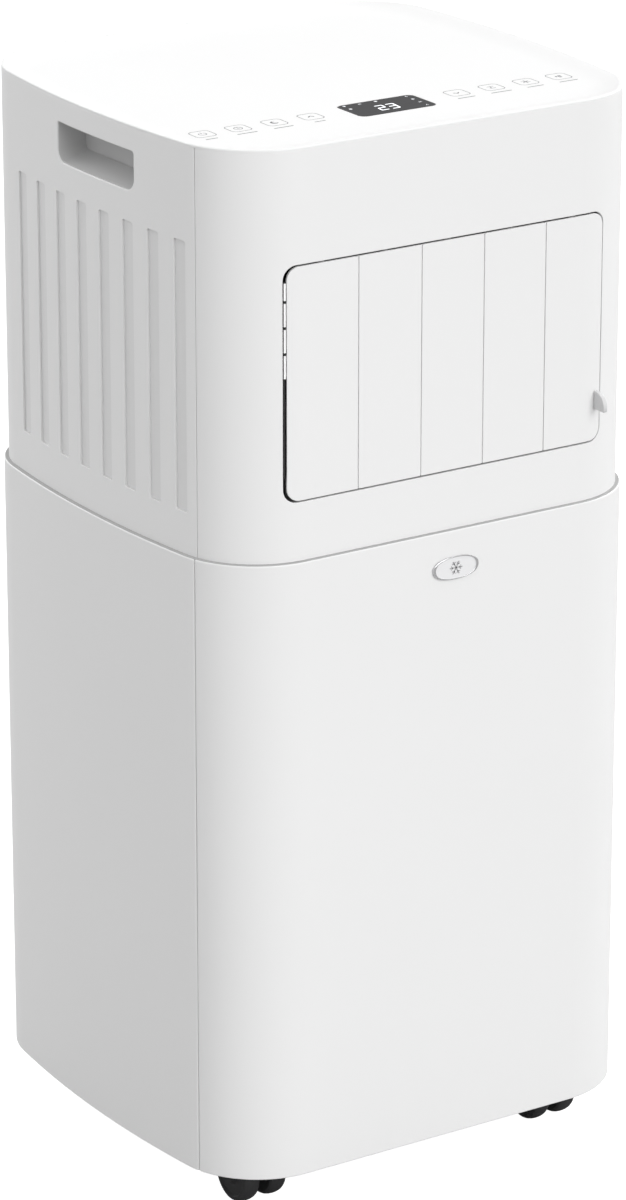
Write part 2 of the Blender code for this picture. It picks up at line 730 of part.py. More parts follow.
def outlet_frame():
    """The tunnel behind the louvre, with bearings for the blades and the vanes."""
    left, right = TUNNEL_LEFT - FRAME_WALL, TUNNEL_RIGHT + FRAME_WALL
    turns = [-CORNER_X, CORNER_X, (CORNER_X + right) / 2]
    steps = [left, *(x for x in turns if left < x < right), right]
    outline = [(x, front_y(x, UPPER_INSIDE + GAP)) for x in steps]
    outline += [(right, FRAME_BACK), (left, FRAME_BACK)]
    low, high = TUNNEL_LOW - FRAME_WALL, TUNNEL_HIGH + FRAME_WALL
    frame = prism("outlet_frame", outline, low, high, white_shell())
    far = (TUNNEL_RIGHT, FRAME_BACK + 0.01, TUNNEL_HIGH)
    tunnel = box("tunnel", (TUNNEL_LEFT, FRONT_Y, TUNNEL_LOW), far, rubber())
    combine(frame, "DIFFERENCE", [tunnel])
    bore = PIVOT_RADIUS + RUNNING_GAP
    upright = [(blade_axis(i), BLADE_AXIS_Y) for i in range(BLADE_COUNT)]
    level = [(VANE_AXIS_Y, vane_z(i)) for i in range(VANE_COUNT)]
    holes = bores("blade_bearing", upright, bore, low - 0.01, high + 0.01, "Z")
    holes += bores("vane_bearing", level, bore, left - 0.01, right + 0.01, "X")
    return combine(frame, "DIFFERENCE", holes)


def vane_z(index):
    pitch = (TUNNEL_HIGH - TUNNEL_LOW) / VANE_COUNT
    return TUNNEL_HIGH - (index + 0.5) * pitch


def vane(index):
    """A level vane that tips the air up or down."""
    z, y = vane_z(index), VANE_AXIS_Y
    left = TUNNEL_LEFT + LINK_THICKNESS + 0.0012
    right = TUNNEL_RIGHT - 0.0008
    half, thick = VANE_CHORD / 2, VANE_THICKNESS / 2
    outline = [(y - half, z), (y - half + 0.003, z - thick), (y + half - 0.002, z - thick)]
    outline += [(y + half, z), (y + half - 0.002, z + thick), (y - half + 0.003, z + thick)]
    blade = prism(f"vane_{index + 1}", outline, left, right, white_shell(), "X")
    outer = FRAME_WALL - 0.0005
    pivot = circle(y, z, PIVOT_RADIUS, 12)
    crank = circle(y + VANE_CRANK, z, CRANK_PIN_RADIUS, 12)
    helpers = [
        prism(f"{blade.name}_pivot", pivot, TUNNEL_LEFT - outer, TUNNEL_RIGHT + outer, rubber(), "X"),
        prism(f"{blade.name}_crank", crank, TUNNEL_LEFT + 0.0004, left + 0.002, rubber(), "X"),
    ]
    return combine(blade, "UNION", helpers)


def vane_link():
    """The upright bar that ties the vane cranks together."""
    y = VANE_AXIS_Y + VANE_CRANK
    half = 0.0025
    left = TUNNEL_LEFT + 0.0008
    low, high = vane_z(VANE_COUNT - 1), vane_z(0)
    outline = rounded(y - half, y + half, low - half, high + half, half * 0.98)
    bar = prism("vane_link", outline, left, left + LINK_THICKNESS, black_plastic(), "X")
    places = [(y, vane_z(i)) for i in range(VANE_COUNT)]
    holes = bores("vane_link_hole", places, CRANK_PIN_RADIUS + RUNNING_GAP, left - 0.01, left + 0.01, "X")
    return combine(bar, "DIFFERENCE", holes)


# Cold side

def upper_scroll():
    """The foam block that guides the air round the drum to the outlet frame."""
    left, right = TUNNEL_LEFT - FRAME_WALL, TUNNEL_RIGHT + FRAME_WALL
    low, high = TRAY_Z + TRAY_THICKNESS + GAP, TUNNEL_HIGH + SCROLL_WALL
    block = box("upper_scroll", (left, SCROLL_FRONT, low), (right, SCROLL_BACK, high), foam())
    radius = DRUM_RADIUS + SCROLL_CLEAR
    mouth_low, mouth_high = TUNNEL_LOW, TUNNEL_HIGH
    outline = [(SCROLL_FRONT - 0.01, mouth_high), (SCROLL_FRONT - 0.01, mouth_low)]
    for i in range(9):
        t = math.radians(-110 + 45 * i / 8)
        outline.append((DRUM_Y + radius * math.cos(t), DRUM_Z + radius * math.sin(t)))
    outline += [(SCROLL_BACK + 0.01, DRUM_Z - radius * 0.7), (SCROLL_BACK + 0.01, mouth_high - 0.004)]
    outline.append((DRUM_Y, mouth_high - 0.004))
    room = prism("scroll_room", outline, TUNNEL_LEFT, TUNNEL_RIGHT, rubber(), "X")
    shaft = circle(DRUM_Y, DRUM_Z, SHAFT_RADIUS + RUNNING_GAP)
    hole = prism("scroll_shaft_hole", shaft, 0.0, right + 0.01, rubber(), "X")
    combine(block, "DIFFERENCE", [room])
    return combine(block, "DIFFERENCE", [hole])


def bladed_drum(name, y, z, radius, left, right, shaft_end, blades, size, material):
    """A drum of long blades between two discs, on a shaft along X."""
    disc = 0.003
    drum = prism(name, circle(y, z, radius, 24), left, left + disc, material, "X")
    helpers = [
        prism(f"{name}_end", circle(y, z, radius, 24), right - disc, right, rubber(), "X"),
        prism(f"{name}_shaft", circle(y, z, SHAFT_RADIUS, 12), left + 0.001, shaft_end, rubber(), "X"),
    ]
    middle = radius - size[0] / 2 - 0.001
    for i in range(blades):
        turn = 2 * math.pi * i / blades
        centre = Vector((y + middle * math.cos(turn), z + middle * math.sin(turn)))
        along = Vector((math.cos(turn + 0.5), math.sin(turn + 0.5))) * size[0] / 2
        across = Vector((-along.y, along.x)).normalized() * size[1] / 2
        corners = [centre + a * along + b * across for a, b in ((-1, -1), (1, -1), (1, 1), (-1, 1))]
        outline = [tuple(c) for c in corners]
        helpers.append(prism(f"{name}_blade_{i}", outline, left + 0.001, right - 0.001, rubber(), "X"))
    return combine(drum, "UNION", helpers)


def upper_blower_drum():
    left, right = TUNNEL_LEFT + 0.003, TUNNEL_RIGHT - 0.003
    end = TUNNEL_RIGHT + FRAME_WALL + 0.012
    centre = ("upper_blower_drum", DRUM_Y, DRUM_Z, DRUM_RADIUS)
    return bladed_drum(*centre, left, right, end, DRUM_BLADES, DRUM_BLADE, black_plastic())


def upper_motor():
    left = TUNNEL_RIGHT + FRAME_WALL + GAP
    most = side_x(UPPER_MOTOR_RADIUS + abs(DRUM_Y), UPPER_INSIDE) - 0.001
    right = min(left + UPPER_MOTOR_LENGTH, most)
    outline = circle(DRUM_Y, DRUM_Z, UPPER_MOTOR_RADIUS, 20)
    motor = prism("upper_motor", outline, left, right, zinc_steel(), "X")
    end = TUNNEL_RIGHT + FRAME_WALL + 0.012 + 0.001
    shaft = circle(DRUM_Y, DRUM_Z, SHAFT_RADIUS + RUNNING_GAP, 12)
    return combine(motor, "DIFFERENCE", [prism("upper_motor_bore", shaft, left - 0.01, end, rubber(), "X")])


def evaporator():
    half = EVAPORATOR_WIDTH / 2
    low = TRAY_Z + BASIN_FLOOR + GAP
    high = TUNNEL_HIGH + SCROLL_WALL
    front = EVAPORATOR_BACK - EVAPORATOR_DEPTH
    core = box("evaporator", (-half, front, low), (half, EVAPORATOR_BACK, high), aluminium_fins())
    bends = []
    for i in range(4):
        z = low + (high - low) * (i + 0.5) / 4
        outline = rounded(front + 0.006, EVAPORATOR_BACK - 0.006, z - 0.004, z + 0.004, 0.0035)
        bends.append(prism(f"evaporator_bend_{i}", outline, -half - 0.010, -half + 0.002, rubber(), "X"))
    return combine(core, "UNION", bends)


def drip_tray():
    """The shelf between the cold and the hot side, with a basin under the evaporator."""
    outline = full_curve(UPPER_INSIDE + GAP)
    tray = prism("drip_tray", outline, TRAY_Z, TRAY_Z + TRAY_THICKNESS, inner_plastic())
    half = EVAPORATOR_WIDTH / 2 + BASIN_MARGIN
    near = (-half - 0.010, EVAPORATOR_BACK - EVAPORATOR_DEPTH - BASIN_MARGIN, TRAY_Z + BASIN_FLOOR)
    far = (half, EVAPORATOR_BACK + BASIN_MARGIN, TRAY_Z + TRAY_THICKNESS + 0.01)
    basin = box("drip_basin", near, far, rubber())
    x, y = suction_place()
    hole = prism("pipe_hole", circle(x, y, PIPE_RADIUS + 0.002), TRAY_Z - 0.01, TRAY_Z + 0.03, rubber())
    return combine(tray, "DIFFERENCE", [basin, hole])


# Hot side

def castor_places():
    x = BODY_WIDTH / 2 - CASTOR_X_INSET
    y = BODY_DEPTH / 2 - CASTOR_Y_INSET
    return {
        "front_left": (-x, -y),
        "front_right": (x, -y),
        "rear_left": (-x, y),
        "rear_right": (x, y),
    }


def base_pan():
    """A shallow pan inside the skirt that carries everything, with a boss for each castor stem."""
    outline = full_curve(LOWER_WALL + GAP)
    pan = prism("base_pan", outline, PAN_Z, PAN_Z + PAN_WALL, inner_plastic())
    inner = full_curve(LOWER_WALL + GAP + 0.003)
    room = prism("pan_room", inner, PAN_Z + PAN_THICKNESS, PAN_Z + 0.03, rubber())
    combine(pan, "DIFFERENCE", [room])
    bosses = []
    holes = []
    for place, (x, y) in castor_places().items():
        bosses.append(prism(f"boss_{place}", circle(x, y, BOSS_RADIUS), PAN_Z + 0.001, BOSS_Z, rubber()))
        stem = circle(x, y, STEM_RADIUS + RUNNING_GAP)
        holes.append(prism(f"stem_hole_{place}", stem, PAN_Z - 0.01, PAN_Z + STEM_LENGTH, rubber()))
    combine(pan, "UNION", bosses)
    return combine(pan, "DIFFERENCE", holes)


def compressor_place():
    x = side_x(0, LOWER_WALL) - COMPRESSOR_MARGIN - COMPRESSOR_RADIUS - 0.010
    y = FRONT_Y + LOWER_WALL + COMPRESSOR_MARGIN + COMPRESSOR_RADIUS + 0.014
    return x, y


def pan_floor():
    return PAN_Z + PAN_THICKNESS


def compressor():
    x, y = compressor_place()
    low = PAN_Z + PAN_WALL + 0.010
    tall = COMPRESSOR_HEIGHT
    profile = [(0.86, 0.0), (1.0, 0.012), (1.0, tall - 0.022), (0.82, tall - 0.007), (0.4, tall)]
    loops = []
    for share, up in profile:
        loops.append([(a, b, low + up) for a, b in circle(x, y, COMPRESSOR_RADIUS * share, 24)])
    can = loft("compressor", loops, painted_steel())
    feet = []
    for i in range(3):
        turn = math.radians(30 + 120 * i)
        cx, cy = x + 0.046 * math.cos(turn), y + 0.046 * math.sin(turn)
        foot = circle(cx, cy, 0.008, 10)
        feet.append(prism(f"compressor_foot_{i}", foot, pan_floor() + GAP, low + 0.020, rubber()))
    return combine(can, "UNION", feet)


def condenser():
    half = CONDENSER_WIDTH / 2
    back = REAR_Y - LOWER_WALL - CONDENSER_SETBACK
    low = BOSS_Z + GAP
    high = low + CONDENSER_HEIGHT
    core = box("condenser", (-half, back - CONDENSER_DEPTH, low), (half, back, high), aluminium_fins())
    bends = []
    for i in range(4):
        z = low + CONDENSER_HEIGHT * (i + 0.5) / 4
        outline = rounded(back - CONDENSER_DEPTH + 0.006, back - 0.006, z - 0.004, z + 0.004, 0.0035)
        bends.append(prism(f"condenser_bend_{i}", outline, -half - 0.010, -half + 0.002, rubber(), "X"))
    return combine(core, "UNION", bends)


def volute_outline(radius, end):
    """Round the wheel from the top to the lower rear, then straight on to the exhaust."""
    points = [(end, BLOWER_Z + radius), (0.0, BLOWER_Z + radius)]
    for i in range(1, 11):
        t = math.radians(90 + 22.5 * i)
        points.append((radius * math.cos(t), BLOWER_Z + radius * math.sin(t)))
    points.append((end, BLOWER_Z + radius * math.sin(math.radians(-45))))
    return points


def lower_scroll():
    """The volute round the hot air wheel; it opens to the rear, at the exhaust collar."""
    half = BLOWER_WIDTH / 2 + BLOWER_CLEAR
    end = REAR_Y - LOWER_WALL - 0.046

    outer = volute_outline(BLOWER_SHELL + BLOWER_WALL, end)
    wide = half + BLOWER_WALL
    volute = prism("lower_scroll", outer, -wide, wide, inner_plastic(), "X")
    bracket_low = (-wide + 0.006, -0.030, BLOWER_Z + BLOWER_SHELL + 0.001)
    bracket = box("scroll_bracket", bracket_low, (wide - 0.006, 0.030, TRAY_Z - GAP), rubber())
    combine(volute, "UNION", [bracket])
    room = prism("volute_room", volute_outline(BLOWER_SHELL, end + 0.02), -half, half, rubber(), "X")
    combine(volute, "DIFFERENCE", [room])
    inlet = circle(0.0, BLOWER_Z, BLOWER_RADIUS * 0.75, 24)
    shaft = circle(0.0, BLOWER_Z, SHAFT_RADIUS + 0.002, 12)
    holes = [
        prism("volute_inlet", inlet, -half - 0.02, 0.0, rubber(), "X"),
        prism("volute_shaft", shaft, 0.0, half + 0.02, rubber(), "X"),
    ]
    return combine(volute, "DIFFERENCE", holes)


def lower_blower_wheel():
    half = BLOWER_WIDTH / 2
    end = half + BLOWER_CLEAR + BLOWER_WALL + 0.014
    centre = ("lower_blower_wheel", 0.0, BLOWER_Z, BLOWER_RADIUS)
    return bladed_drum(*centre, -half, half, end, BLOWER_BLADES, BLOWER_BLADE, black_plastic())


def lower_motor():
    left = BLOWER_WIDTH / 2 + BLOWER_CLEAR + BLOWER_WALL + GAP
    right = left + LOWER_MOTOR_LENGTH
    outline = circle(0.0, BLOWER_Z, LOWER_MOTOR_RADIUS, 20)
    motor = prism("lower_motor", outline, left, right, zinc_steel(), "X")
    shaft = circle(0.0, BLOWER_Z, SHAFT_RADIUS + RUNNING_GAP, 12)
    bore = prism("lower_motor_bore", shaft, left - 0.01, left + 0.015, rubber(), "X")
    return combine(motor, "DIFFERENCE", [bore])


def electric_box():
    x = -CORNER_X + 0.002
    y = FRONT_Y + LOWER_WALL + GAP
    z = STEP_Z - SHELL_LAP - 0.020 - BOX_SIZE[2]
    low = (x, y, z)
    return box("electric_box", low, tuple(a + b for a, b in zip(low, BOX_SIZE)), painted_steel())


def tube(name, route, radius, material):
    """A round pipe along a smooth curve through its route's points."""
    smooth = []
    last = len(route) - 1
    for i in range(last):
        a, b, c, d = (Vector(route[max(0, min(last, k))]) for k in (i - 1, i, i + 1, i + 2))
        bend, twist = 2 * a - 5 * b + 4 * c - d, 3 * b - a - 3 * c + d
        for s in range(4):
            t = s / 4
            smooth.append(0.5 * (2 * b + (c - a) * t + bend * t * t + twist * t**3))
    smooth.append(Vector(route[-1]))
    curve = bpy.data.curves.new(name, "CURVE")
    curve.dimensions = "3D"
    curve.bevel_depth = radius
    curve.bevel_resolution = 2
    curve.use_fill_caps = True
    spline = curve.splines.new("POLY")
    spline.points.add(len(smooth) - 1)
    for point, place in zip(spline.points, smooth):
        point.co = (*place, 1.0)
    curve.materials.append(material)
    thing = bpy.data.objects.new(name, curve)
    bpy.context.collection.objects.link(thing)
    return thing


def suction_place():
    """Where the suction pipe passes through the shelf."""
    return EVAPORATOR_WIDTH / 2 + 0.012, EVAPORATOR_BACK - EVAPORATOR_DEPTH / 2


def compressor_top():
    return PAN_Z + PAN_WALL + 0.010 + COMPRESSOR_HEIGHT + PIPE_RADIUS + 0.001


def suction_pipe():
    cx, cy = compressor_place()
    x, y = suction_place()
    z = compressor_top()
    top = TUNNEL_LOW + 0.06
    route = [
        (cx + 0.012, cy, z),
        (cx + 0.014, cy + 0.015, z + 0.020),
        (x - 0.004, cy + 0.050, z + 0.045),
        (x, y, z + 0.085),
        (x, y, TRAY_Z + 0.003),
        (x, y, top),
    ]
    return tube("suction_pipe", route, PIPE_RADIUS, copper())


def discharge_pipe():
    cx, cy = compressor_place()
    z = compressor_top()
    x = CONDENSER_WIDTH / 2 + PIPE_RADIUS + 0.002
    y = REAR_Y - LOWER_WALL - CONDENSER_SETBACK - CONDENSER_DEPTH / 2
    low = BOSS_Z + GAP
    route = [
        (cx - 0.010, cy, z),
        (cx - 0.008, cy + 0.020, z + 0.012),
        (cx + 0.010, cy + 0.060, z + 0.010),
        (x, y - 0.012, low + CONDENSER_HEIGHT * 0.85),
        (x, y, low + CONDENSER_HEIGHT * 0.6),
        (x, y, low + 0.03),
    ]
    return tube("discharge_pipe", route, PIPE_RADIUS * 0.8, copper())


# Rear grilles and fittings

def slatted(name, size, low, face_y, wall_thickness):
    """A framed grille of level bars that fills its opening, front flush with the shell around it."""
    half = size[0] / 2 - GAP
    bottom, top = low + GAP, low + size[1] - GAP
    outline = rounded(-half, half, bottom, top, 0.008 - GAP)
    grille = prism(name, outline, face_y - wall_thickness, face_y, white_shell(), "Y")
    rim = GRILLE_BAR
    pitch = (top - bottom - rim) / GRILLE_SLOTS
    cuts = []
    for i in range(GRILLE_SLOTS):
        z = bottom + rim + i * pitch
        for left, right in ((-half + rim, -0.003), (0.003, half - rim)):
            near, far = (left, face_y - 0.02, z), (right, face_y + 0.02, z + pitch - rim)
            cuts.append(box(f"{name}_slot", near, far, rubber()))
    return combine(grille, "DIFFERENCE", cuts)


def filter_grille():
    return slatted("filter_grille", FILTER_SIZE, STEP_Z + FILTER_LOW, UPPER_REAR_Y, UPPER_WALL)


def filter_screen():
    """The washable dust screen, a thin framed sheet behind the filter grille."""
    half = FILTER_SIZE[0] / 2 - 0.001
    low = STEP_Z + FILTER_LOW + 0.001
    back = UPPER_REAR_Y - UPPER_WALL - GAP
    outline = rounded(-half, half, low, low + FILTER_SIZE[1] - 0.002, 0.007)
    return prism("filter_screen", outline, back - 0.0015, back, black_plastic(), "Y")


def condenser_grille():
    return slatted("condenser_grille", GRILLE_SIZE, SKIRT_Z + GRILLE_LOW, REAR_Y, LOWER_WALL)


def exhaust_collar():
    """The round socket that takes the exhaust hose."""
    outer = circle(0, COLLAR_Z, COLLAR_OUTER, 32)
    near = REAR_Y - LOWER_WALL - 0.040
    collar = prism("exhaust_collar", outer, near, REAR_MOST, inner_plastic(), "Y")
    flange_face = REAR_Y + GAP
    ring = circle(0, COLLAR_Z, COLLAR_OUTER + COLLAR_FLANGE, 32)
    combine(collar, "UNION", [prism("collar_flange", ring, flange_face, flange_face + 0.002, rubber(), "Y")])
    inner = circle(0, COLLAR_Z, COLLAR_OUTER - COLLAR_WALL, 32)
    bore = prism("collar_bore", inner, near - 0.01, REAR_MOST + 0.01, rubber(), "Y")
    return combine(collar, "DIFFERENCE", [bore])


def fitting_face(x):
    """The rear face at a fitting, seen from behind."""
    return -front_y(x, 0.0)


def fitting(name, x, radius, material):
    """A flanged plug through the rear shell."""
    z = PAN_Z + FITTING_Z
    face = max(fitting_face(abs(x) - radius * 1.4), fitting_face(abs(x) + radius * 1.4)) + GAP
    inner = fitting_face(abs(x)) - LOWER_WALL - 0.010
    plug = prism(name, circle(x, z, radius), inner, face + 0.001, material, "Y")
    ring = circle(x, z, radius * 1.35)
    flange = prism(f"{name}_flange", ring, face, face + FLANGE_THICKNESS, rubber(), "Y")
    return combine(plug, "UNION", [flange])


def drain_plug():
    return fitting("drain_plug", DRAIN_X, DRAIN_RADIUS, rubber())


def cord_gland():
    return fitting("cord_gland", GLAND_X, GLAND_RADIUS, black_plastic())


# Castors

def castor_frame(place):
    """Places on a castor: stem axis, wheel axis and half the gap between the wheels."""
    x, y = castor_places()[place]
    return x, y, y - CASTOR_TRAIL, WHEEL_RADIUS


def castor_housing(place):
    """The hood and the web between the wheels, moulded with the disc under the pan."""
    x, stem_y, y, z = castor_frame(place)
    hood = WHEEL_RADIUS + HOOD_GAP + HOOD_WALL
    half = WHEEL_SPACING / 2 + WHEEL_WIDTH / 2
    top = PAN_Z - 0.0006
    outline = []
    for i in range(13):
        t = math.radians(10 + 160 * i / 12)
        outline.append((y + hood * math.cos(t), min(z + hood * math.sin(t), top)))
    inner = WHEEL_RADIUS + HOOD_GAP
    for i in range(13):
        t = math.radians(170 - 160 * i / 12)
        outline.append((y + inner * math.cos(t), min(z + inner * math.sin(t), top - 0.001)))
    name = f"castor_{place}_housing"
    housing = prism(name, outline, x - half, x + half, black_plastic(), "X")
    web_half = (WHEEL_SPACING - WHEEL_WIDTH) / 2 - 0.0006
    web = []
    for i in range(9):
        t = math.radians(180 * i / 8)
        web.append((y + (inner + 0.001) * math.cos(t), z + (inner + 0.001) * math.sin(t)))
    for i in range(1, 6):
        t = math.radians(180 + 180 * i / 6)
        web.append((y + 0.009 * math.cos(t), z + 0.009 * math.sin(t)))
    stem = circle(x, stem_y, STEM_RADIUS)
    helpers = [
        prism(f"{name}_web", web, x - web_half, x + web_half, rubber(), "X"),
        prism(f"{name}_disc", circle(x, stem_y, 0.010), z + inner * 0.72, top, rubber()),
        prism(f"{name}_stem", stem, top - 0.003, PAN_Z + STEM_LENGTH - 0.0006, rubber()),
    ]
    combine(housing, "UNION", helpers)
    holes = [prism(f"{name}_bore", circle(y, z, AXLE_RADIUS + GAP, 12), x - 0.02, x + 0.02, rubber(), "X")]
    for side in (-1, 1):
        ends = sorted((x + side * (web_half + 0.0001), x + side * (half + 0.001)))
        cut = circle(y, z, WHEEL_RADIUS + HOOD_GAP - 0.0002, 24)
        holes.append(prism(f"{name}_clear_{side}", cut, *ends, rubber(), "X"))
    return combine(housing, "DIFFERENCE", holes)


def castor_wheel(place, side):
    """One wheel of a pair; it stands on a flat of its rim."""
    x, _, y, z = castor_frame(place)
    name = f"castor_{place}_wheel_{'a' if side < 0 else 'b'}"
    middle = x + side * WHEEL_SPACING / 2
    rim = WHEEL_RADIUS / math.cos(math.pi / WHEEL_SIDES)
    turn = math.pi / WHEEL_SIDES - math.pi / 2
    ends = (middle - WHEEL_WIDTH / 2, middle + WHEEL_WIDTH / 2)
    wheel = prism(name, circle(y, z, rim, WHEEL_SIDES, turn), *ends, rubber(), "X")
    axle = circle(y, z, AXLE_RADIUS + RUNNING_GAP, 12)
    bore = prism(f"{name}_bore", axle, ends[0] - 0.01, ends[1] + 0.01, rubber(), "X")
    return combine(wheel, "DIFFERENCE", [bore])


def castor_axle(place):
    x, _, y, z = castor_frame(place)
    half = WHEEL_SPACING / 2 + WHEEL_WIDTH / 2 + 0.0005
    return prism(f"castor_{place}_axle", circle(y, z, AXLE_RADIUS, 12), x - half, x + half, zinc_steel(), "X")


def build():
    clear_scene()
    base_pan()
    lower_front_cover()
    lower_rear_cover()
    upper_front_cover()
    upper_rear_cover()
    top_panel()
    display_lens()
    control_board()
    badge_plate()
    for side in (-1, 1):
        grip_pocket(side)
    for index in range(BLADE_COUNT):
        pivot_at(louvre_blade(index), blade_axis(index), BLADE_AXIS_Y, TUNNEL_LOW)
    last = blade_axis(BLADE_COUNT - 1)
    pivot_at(louvre_tab(), last, BLADE_AXIS_Y, TUNNEL_LOW)
    pivot_at(louvre_link(), last, BLADE_AXIS_Y + CRANK_LENGTH, TUNNEL_LOW)
    outlet_frame()
    for index in range(VANE_COUNT):
        pivot_at(vane(index), 0.0, VANE_AXIS_Y, vane_z(index))
    pivot_at(vane_link(), 0.0, VANE_AXIS_Y + VANE_CRANK, vane_z(0))
    upper_scroll()
    pivot_at(upper_blower_drum(), 0.0, DRUM_Y, DRUM_Z)
    upper_motor()
    evaporator()
    drip_tray()
    compressor()
    condenser()
    lower_scroll()
    pivot_at(lower_blower_wheel(), 0.0, 0.0, BLOWER_Z)
    lower_motor()
    electric_box()
    suction_pipe()
    discharge_pipe()
    filter_grille()
    filter_screen()
    condenser_grille()
    exhaust_collar()
    drain_plug()
    cord_gland()
    for place in castor_places():
        x, stem_y, y, z = castor_frame(place)
        pivot_at(castor_housing(place), x, stem_y, PAN_Z)
        for side in (-1, 1):
            pivot_at(castor_wheel(place, side), x, y, z)
        pivot_at(castor_axle(place), x, y, z)


build()
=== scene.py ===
"""Portable air conditioner on castors: the visible pieces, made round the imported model.

Metres, +Z up, front towards -Y. Each section below makes one piece or one group of like pieces.
"""
import math

import bpy
import numpy as np
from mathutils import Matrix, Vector
from mathutils.geometry import delaunay_2d_cdt


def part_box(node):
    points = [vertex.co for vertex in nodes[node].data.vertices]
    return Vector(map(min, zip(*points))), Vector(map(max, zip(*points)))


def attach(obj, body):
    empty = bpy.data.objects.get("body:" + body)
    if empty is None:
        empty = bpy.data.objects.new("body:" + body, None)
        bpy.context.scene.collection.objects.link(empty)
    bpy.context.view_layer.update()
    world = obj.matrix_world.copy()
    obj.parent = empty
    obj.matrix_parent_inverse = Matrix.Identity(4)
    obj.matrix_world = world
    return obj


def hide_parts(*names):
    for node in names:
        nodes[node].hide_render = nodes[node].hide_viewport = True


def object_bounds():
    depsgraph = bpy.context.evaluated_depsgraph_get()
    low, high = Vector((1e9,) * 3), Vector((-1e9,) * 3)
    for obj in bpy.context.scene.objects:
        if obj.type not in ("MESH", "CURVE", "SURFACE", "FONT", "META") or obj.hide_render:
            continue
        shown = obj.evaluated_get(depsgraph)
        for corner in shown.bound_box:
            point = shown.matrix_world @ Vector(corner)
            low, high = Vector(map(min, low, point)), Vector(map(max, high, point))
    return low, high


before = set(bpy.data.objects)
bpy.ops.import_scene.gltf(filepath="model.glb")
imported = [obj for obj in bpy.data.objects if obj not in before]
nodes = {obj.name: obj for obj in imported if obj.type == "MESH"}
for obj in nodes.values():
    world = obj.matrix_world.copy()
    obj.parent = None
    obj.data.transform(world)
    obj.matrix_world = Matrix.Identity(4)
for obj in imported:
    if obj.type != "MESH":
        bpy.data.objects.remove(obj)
cad_box = [list(map(float, corner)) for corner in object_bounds()]
scene = bpy.context.scene


# Camera
# A long lens that looks a little down on the unit from its front left, so that its front, left side and
# top show.
camera_data = bpy.data.cameras.new("camera")
camera_data.lens = 158.36
camera_data.sensor_width = 36.0
camera_data.clip_end = 60.0
camera = bpy.data.objects.new("camera", camera_data)
camera.location = (-1.7374, -2.6902, 1.4968)
camera.rotation_euler = Vector((0.5113, 0.7906, -0.3370)).to_track_quat("-Z", "Y").to_euler()
scene.collection.objects.link(camera)
scene.camera = camera


# Studio
# A seamless pale floor under a soft ceiling, with broad lamps in front, to the right, behind, and a weak
# one to the left.
def simple_material(name, colour, roughness):
    """A plain matt material for the studio."""
    material = bpy.data.materials.new(name)
    material.use_nodes = True
    shader = material.node_tree.nodes["Principled BSDF"]
    shader.inputs["Base Color"].default_value = (*colour, 1.0)
    shader.inputs["Roughness"].default_value = roughness
    return material


def add_floor(reach, colour, glow):
    """A level sheet of paper that also glows a little in direct view, as one lit from below does."""
    material = simple_material("studio_paper", (colour, colour, colour), 0.9)
    tree = material.node_tree
    shader = tree.nodes["Principled BSDF"]
    shader.inputs["Specular IOR Level"].default_value = 0.0
    shader.inputs["Emission Color"].default_value = (1.0, 1.0, 1.0, 1.0)
    path = tree.nodes.new("ShaderNodeLightPath")
    amount = tree.nodes.new("ShaderNodeMath")
    amount.operation = "MULTIPLY"
    amount.inputs[1].default_value = glow
    tree.links.new(path.outputs["Is Camera Ray"], amount.inputs[0])
    tree.links.new(amount.outputs["Value"], shader.inputs["Emission Strength"])
    mesh = bpy.data.meshes.new("studio_floor")
    corners = [(-reach, -reach, 0.0), (reach, -reach, 0.0), (reach, reach, 0.0), (-reach, reach, 0.0)]
    mesh.from_pydata(corners, [], [(0, 1, 2, 3)])
    mesh.materials.append(material)
    floor = bpy.data.objects.new("studio_floor", mesh)
    scene.collection.objects.link(floor)


def add_lamp(name, azimuth, height, level, spread):
    """A distant lamp. Azimuth runs from the front towards the right, in degrees.

    Level is the light that an upright white wall facing it takes, where 1 is white.
    """
    lamp = bpy.data.lights.new(name, "SUN")
    lamp.energy = level * math.pi / math.cos(math.radians(height))
    lamp.angle = math.radians(spread)
    holder = bpy.data.objects.new(name, lamp)
    turn, rise = math.radians(azimuth), math.tan(math.radians(height))
    towards = Vector((math.sin(turn), -math.cos(turn), rise))
    holder.rotation_euler = towards.to_track_quat("Z", "Y").to_euler()
    scene.collection.objects.link(holder)


def add_ceiling_light(horizon, zenith):
    """World light that brightens evenly from the horizon to straight overhead."""
    world = bpy.data.worlds.new("studio")
    world.use_nodes = True
    tree = world.node_tree
    background = tree.nodes["Background"]
    place = tree.nodes.new("ShaderNodeTexCoord")
    split = tree.nodes.new("ShaderNodeSeparateXYZ")
    ramp = tree.nodes.new("ShaderNodeMapRange")
    ramp.inputs["From Min"].default_value = 0.0
    ramp.inputs["From Max"].default_value = 1.0
    ramp.inputs["To Min"].default_value = horizon
    ramp.inputs["To Max"].default_value = zenith
    tree.links.new(place.outputs["Generated"], split.inputs["Vector"])
    tree.links.new(split.outputs["Z"], ramp.inputs["Value"])
    tree.links.new(ramp.outputs["Result"], background.inputs["Strength"])
    background.inputs["Color"].default_value = (1.0, 1.0, 1.0, 1.0)
    scene.world = world


add_floor(14.0, 0.42, 1.0)
add_ceiling_light(0.36, 0.82)
add_lamp("front_lamp", 8, 24, 0.53, 45)
add_lamp("right_lamp", 107, 22, 0.49, 45)
add_lamp("rear_lamp", -170, 24, 0.42, 45)
add_lamp("left_lamp", -95, 22, 0.10, 60)
scene.view_settings.view_transform = "Standard"
scene.view_settings.look = "None"


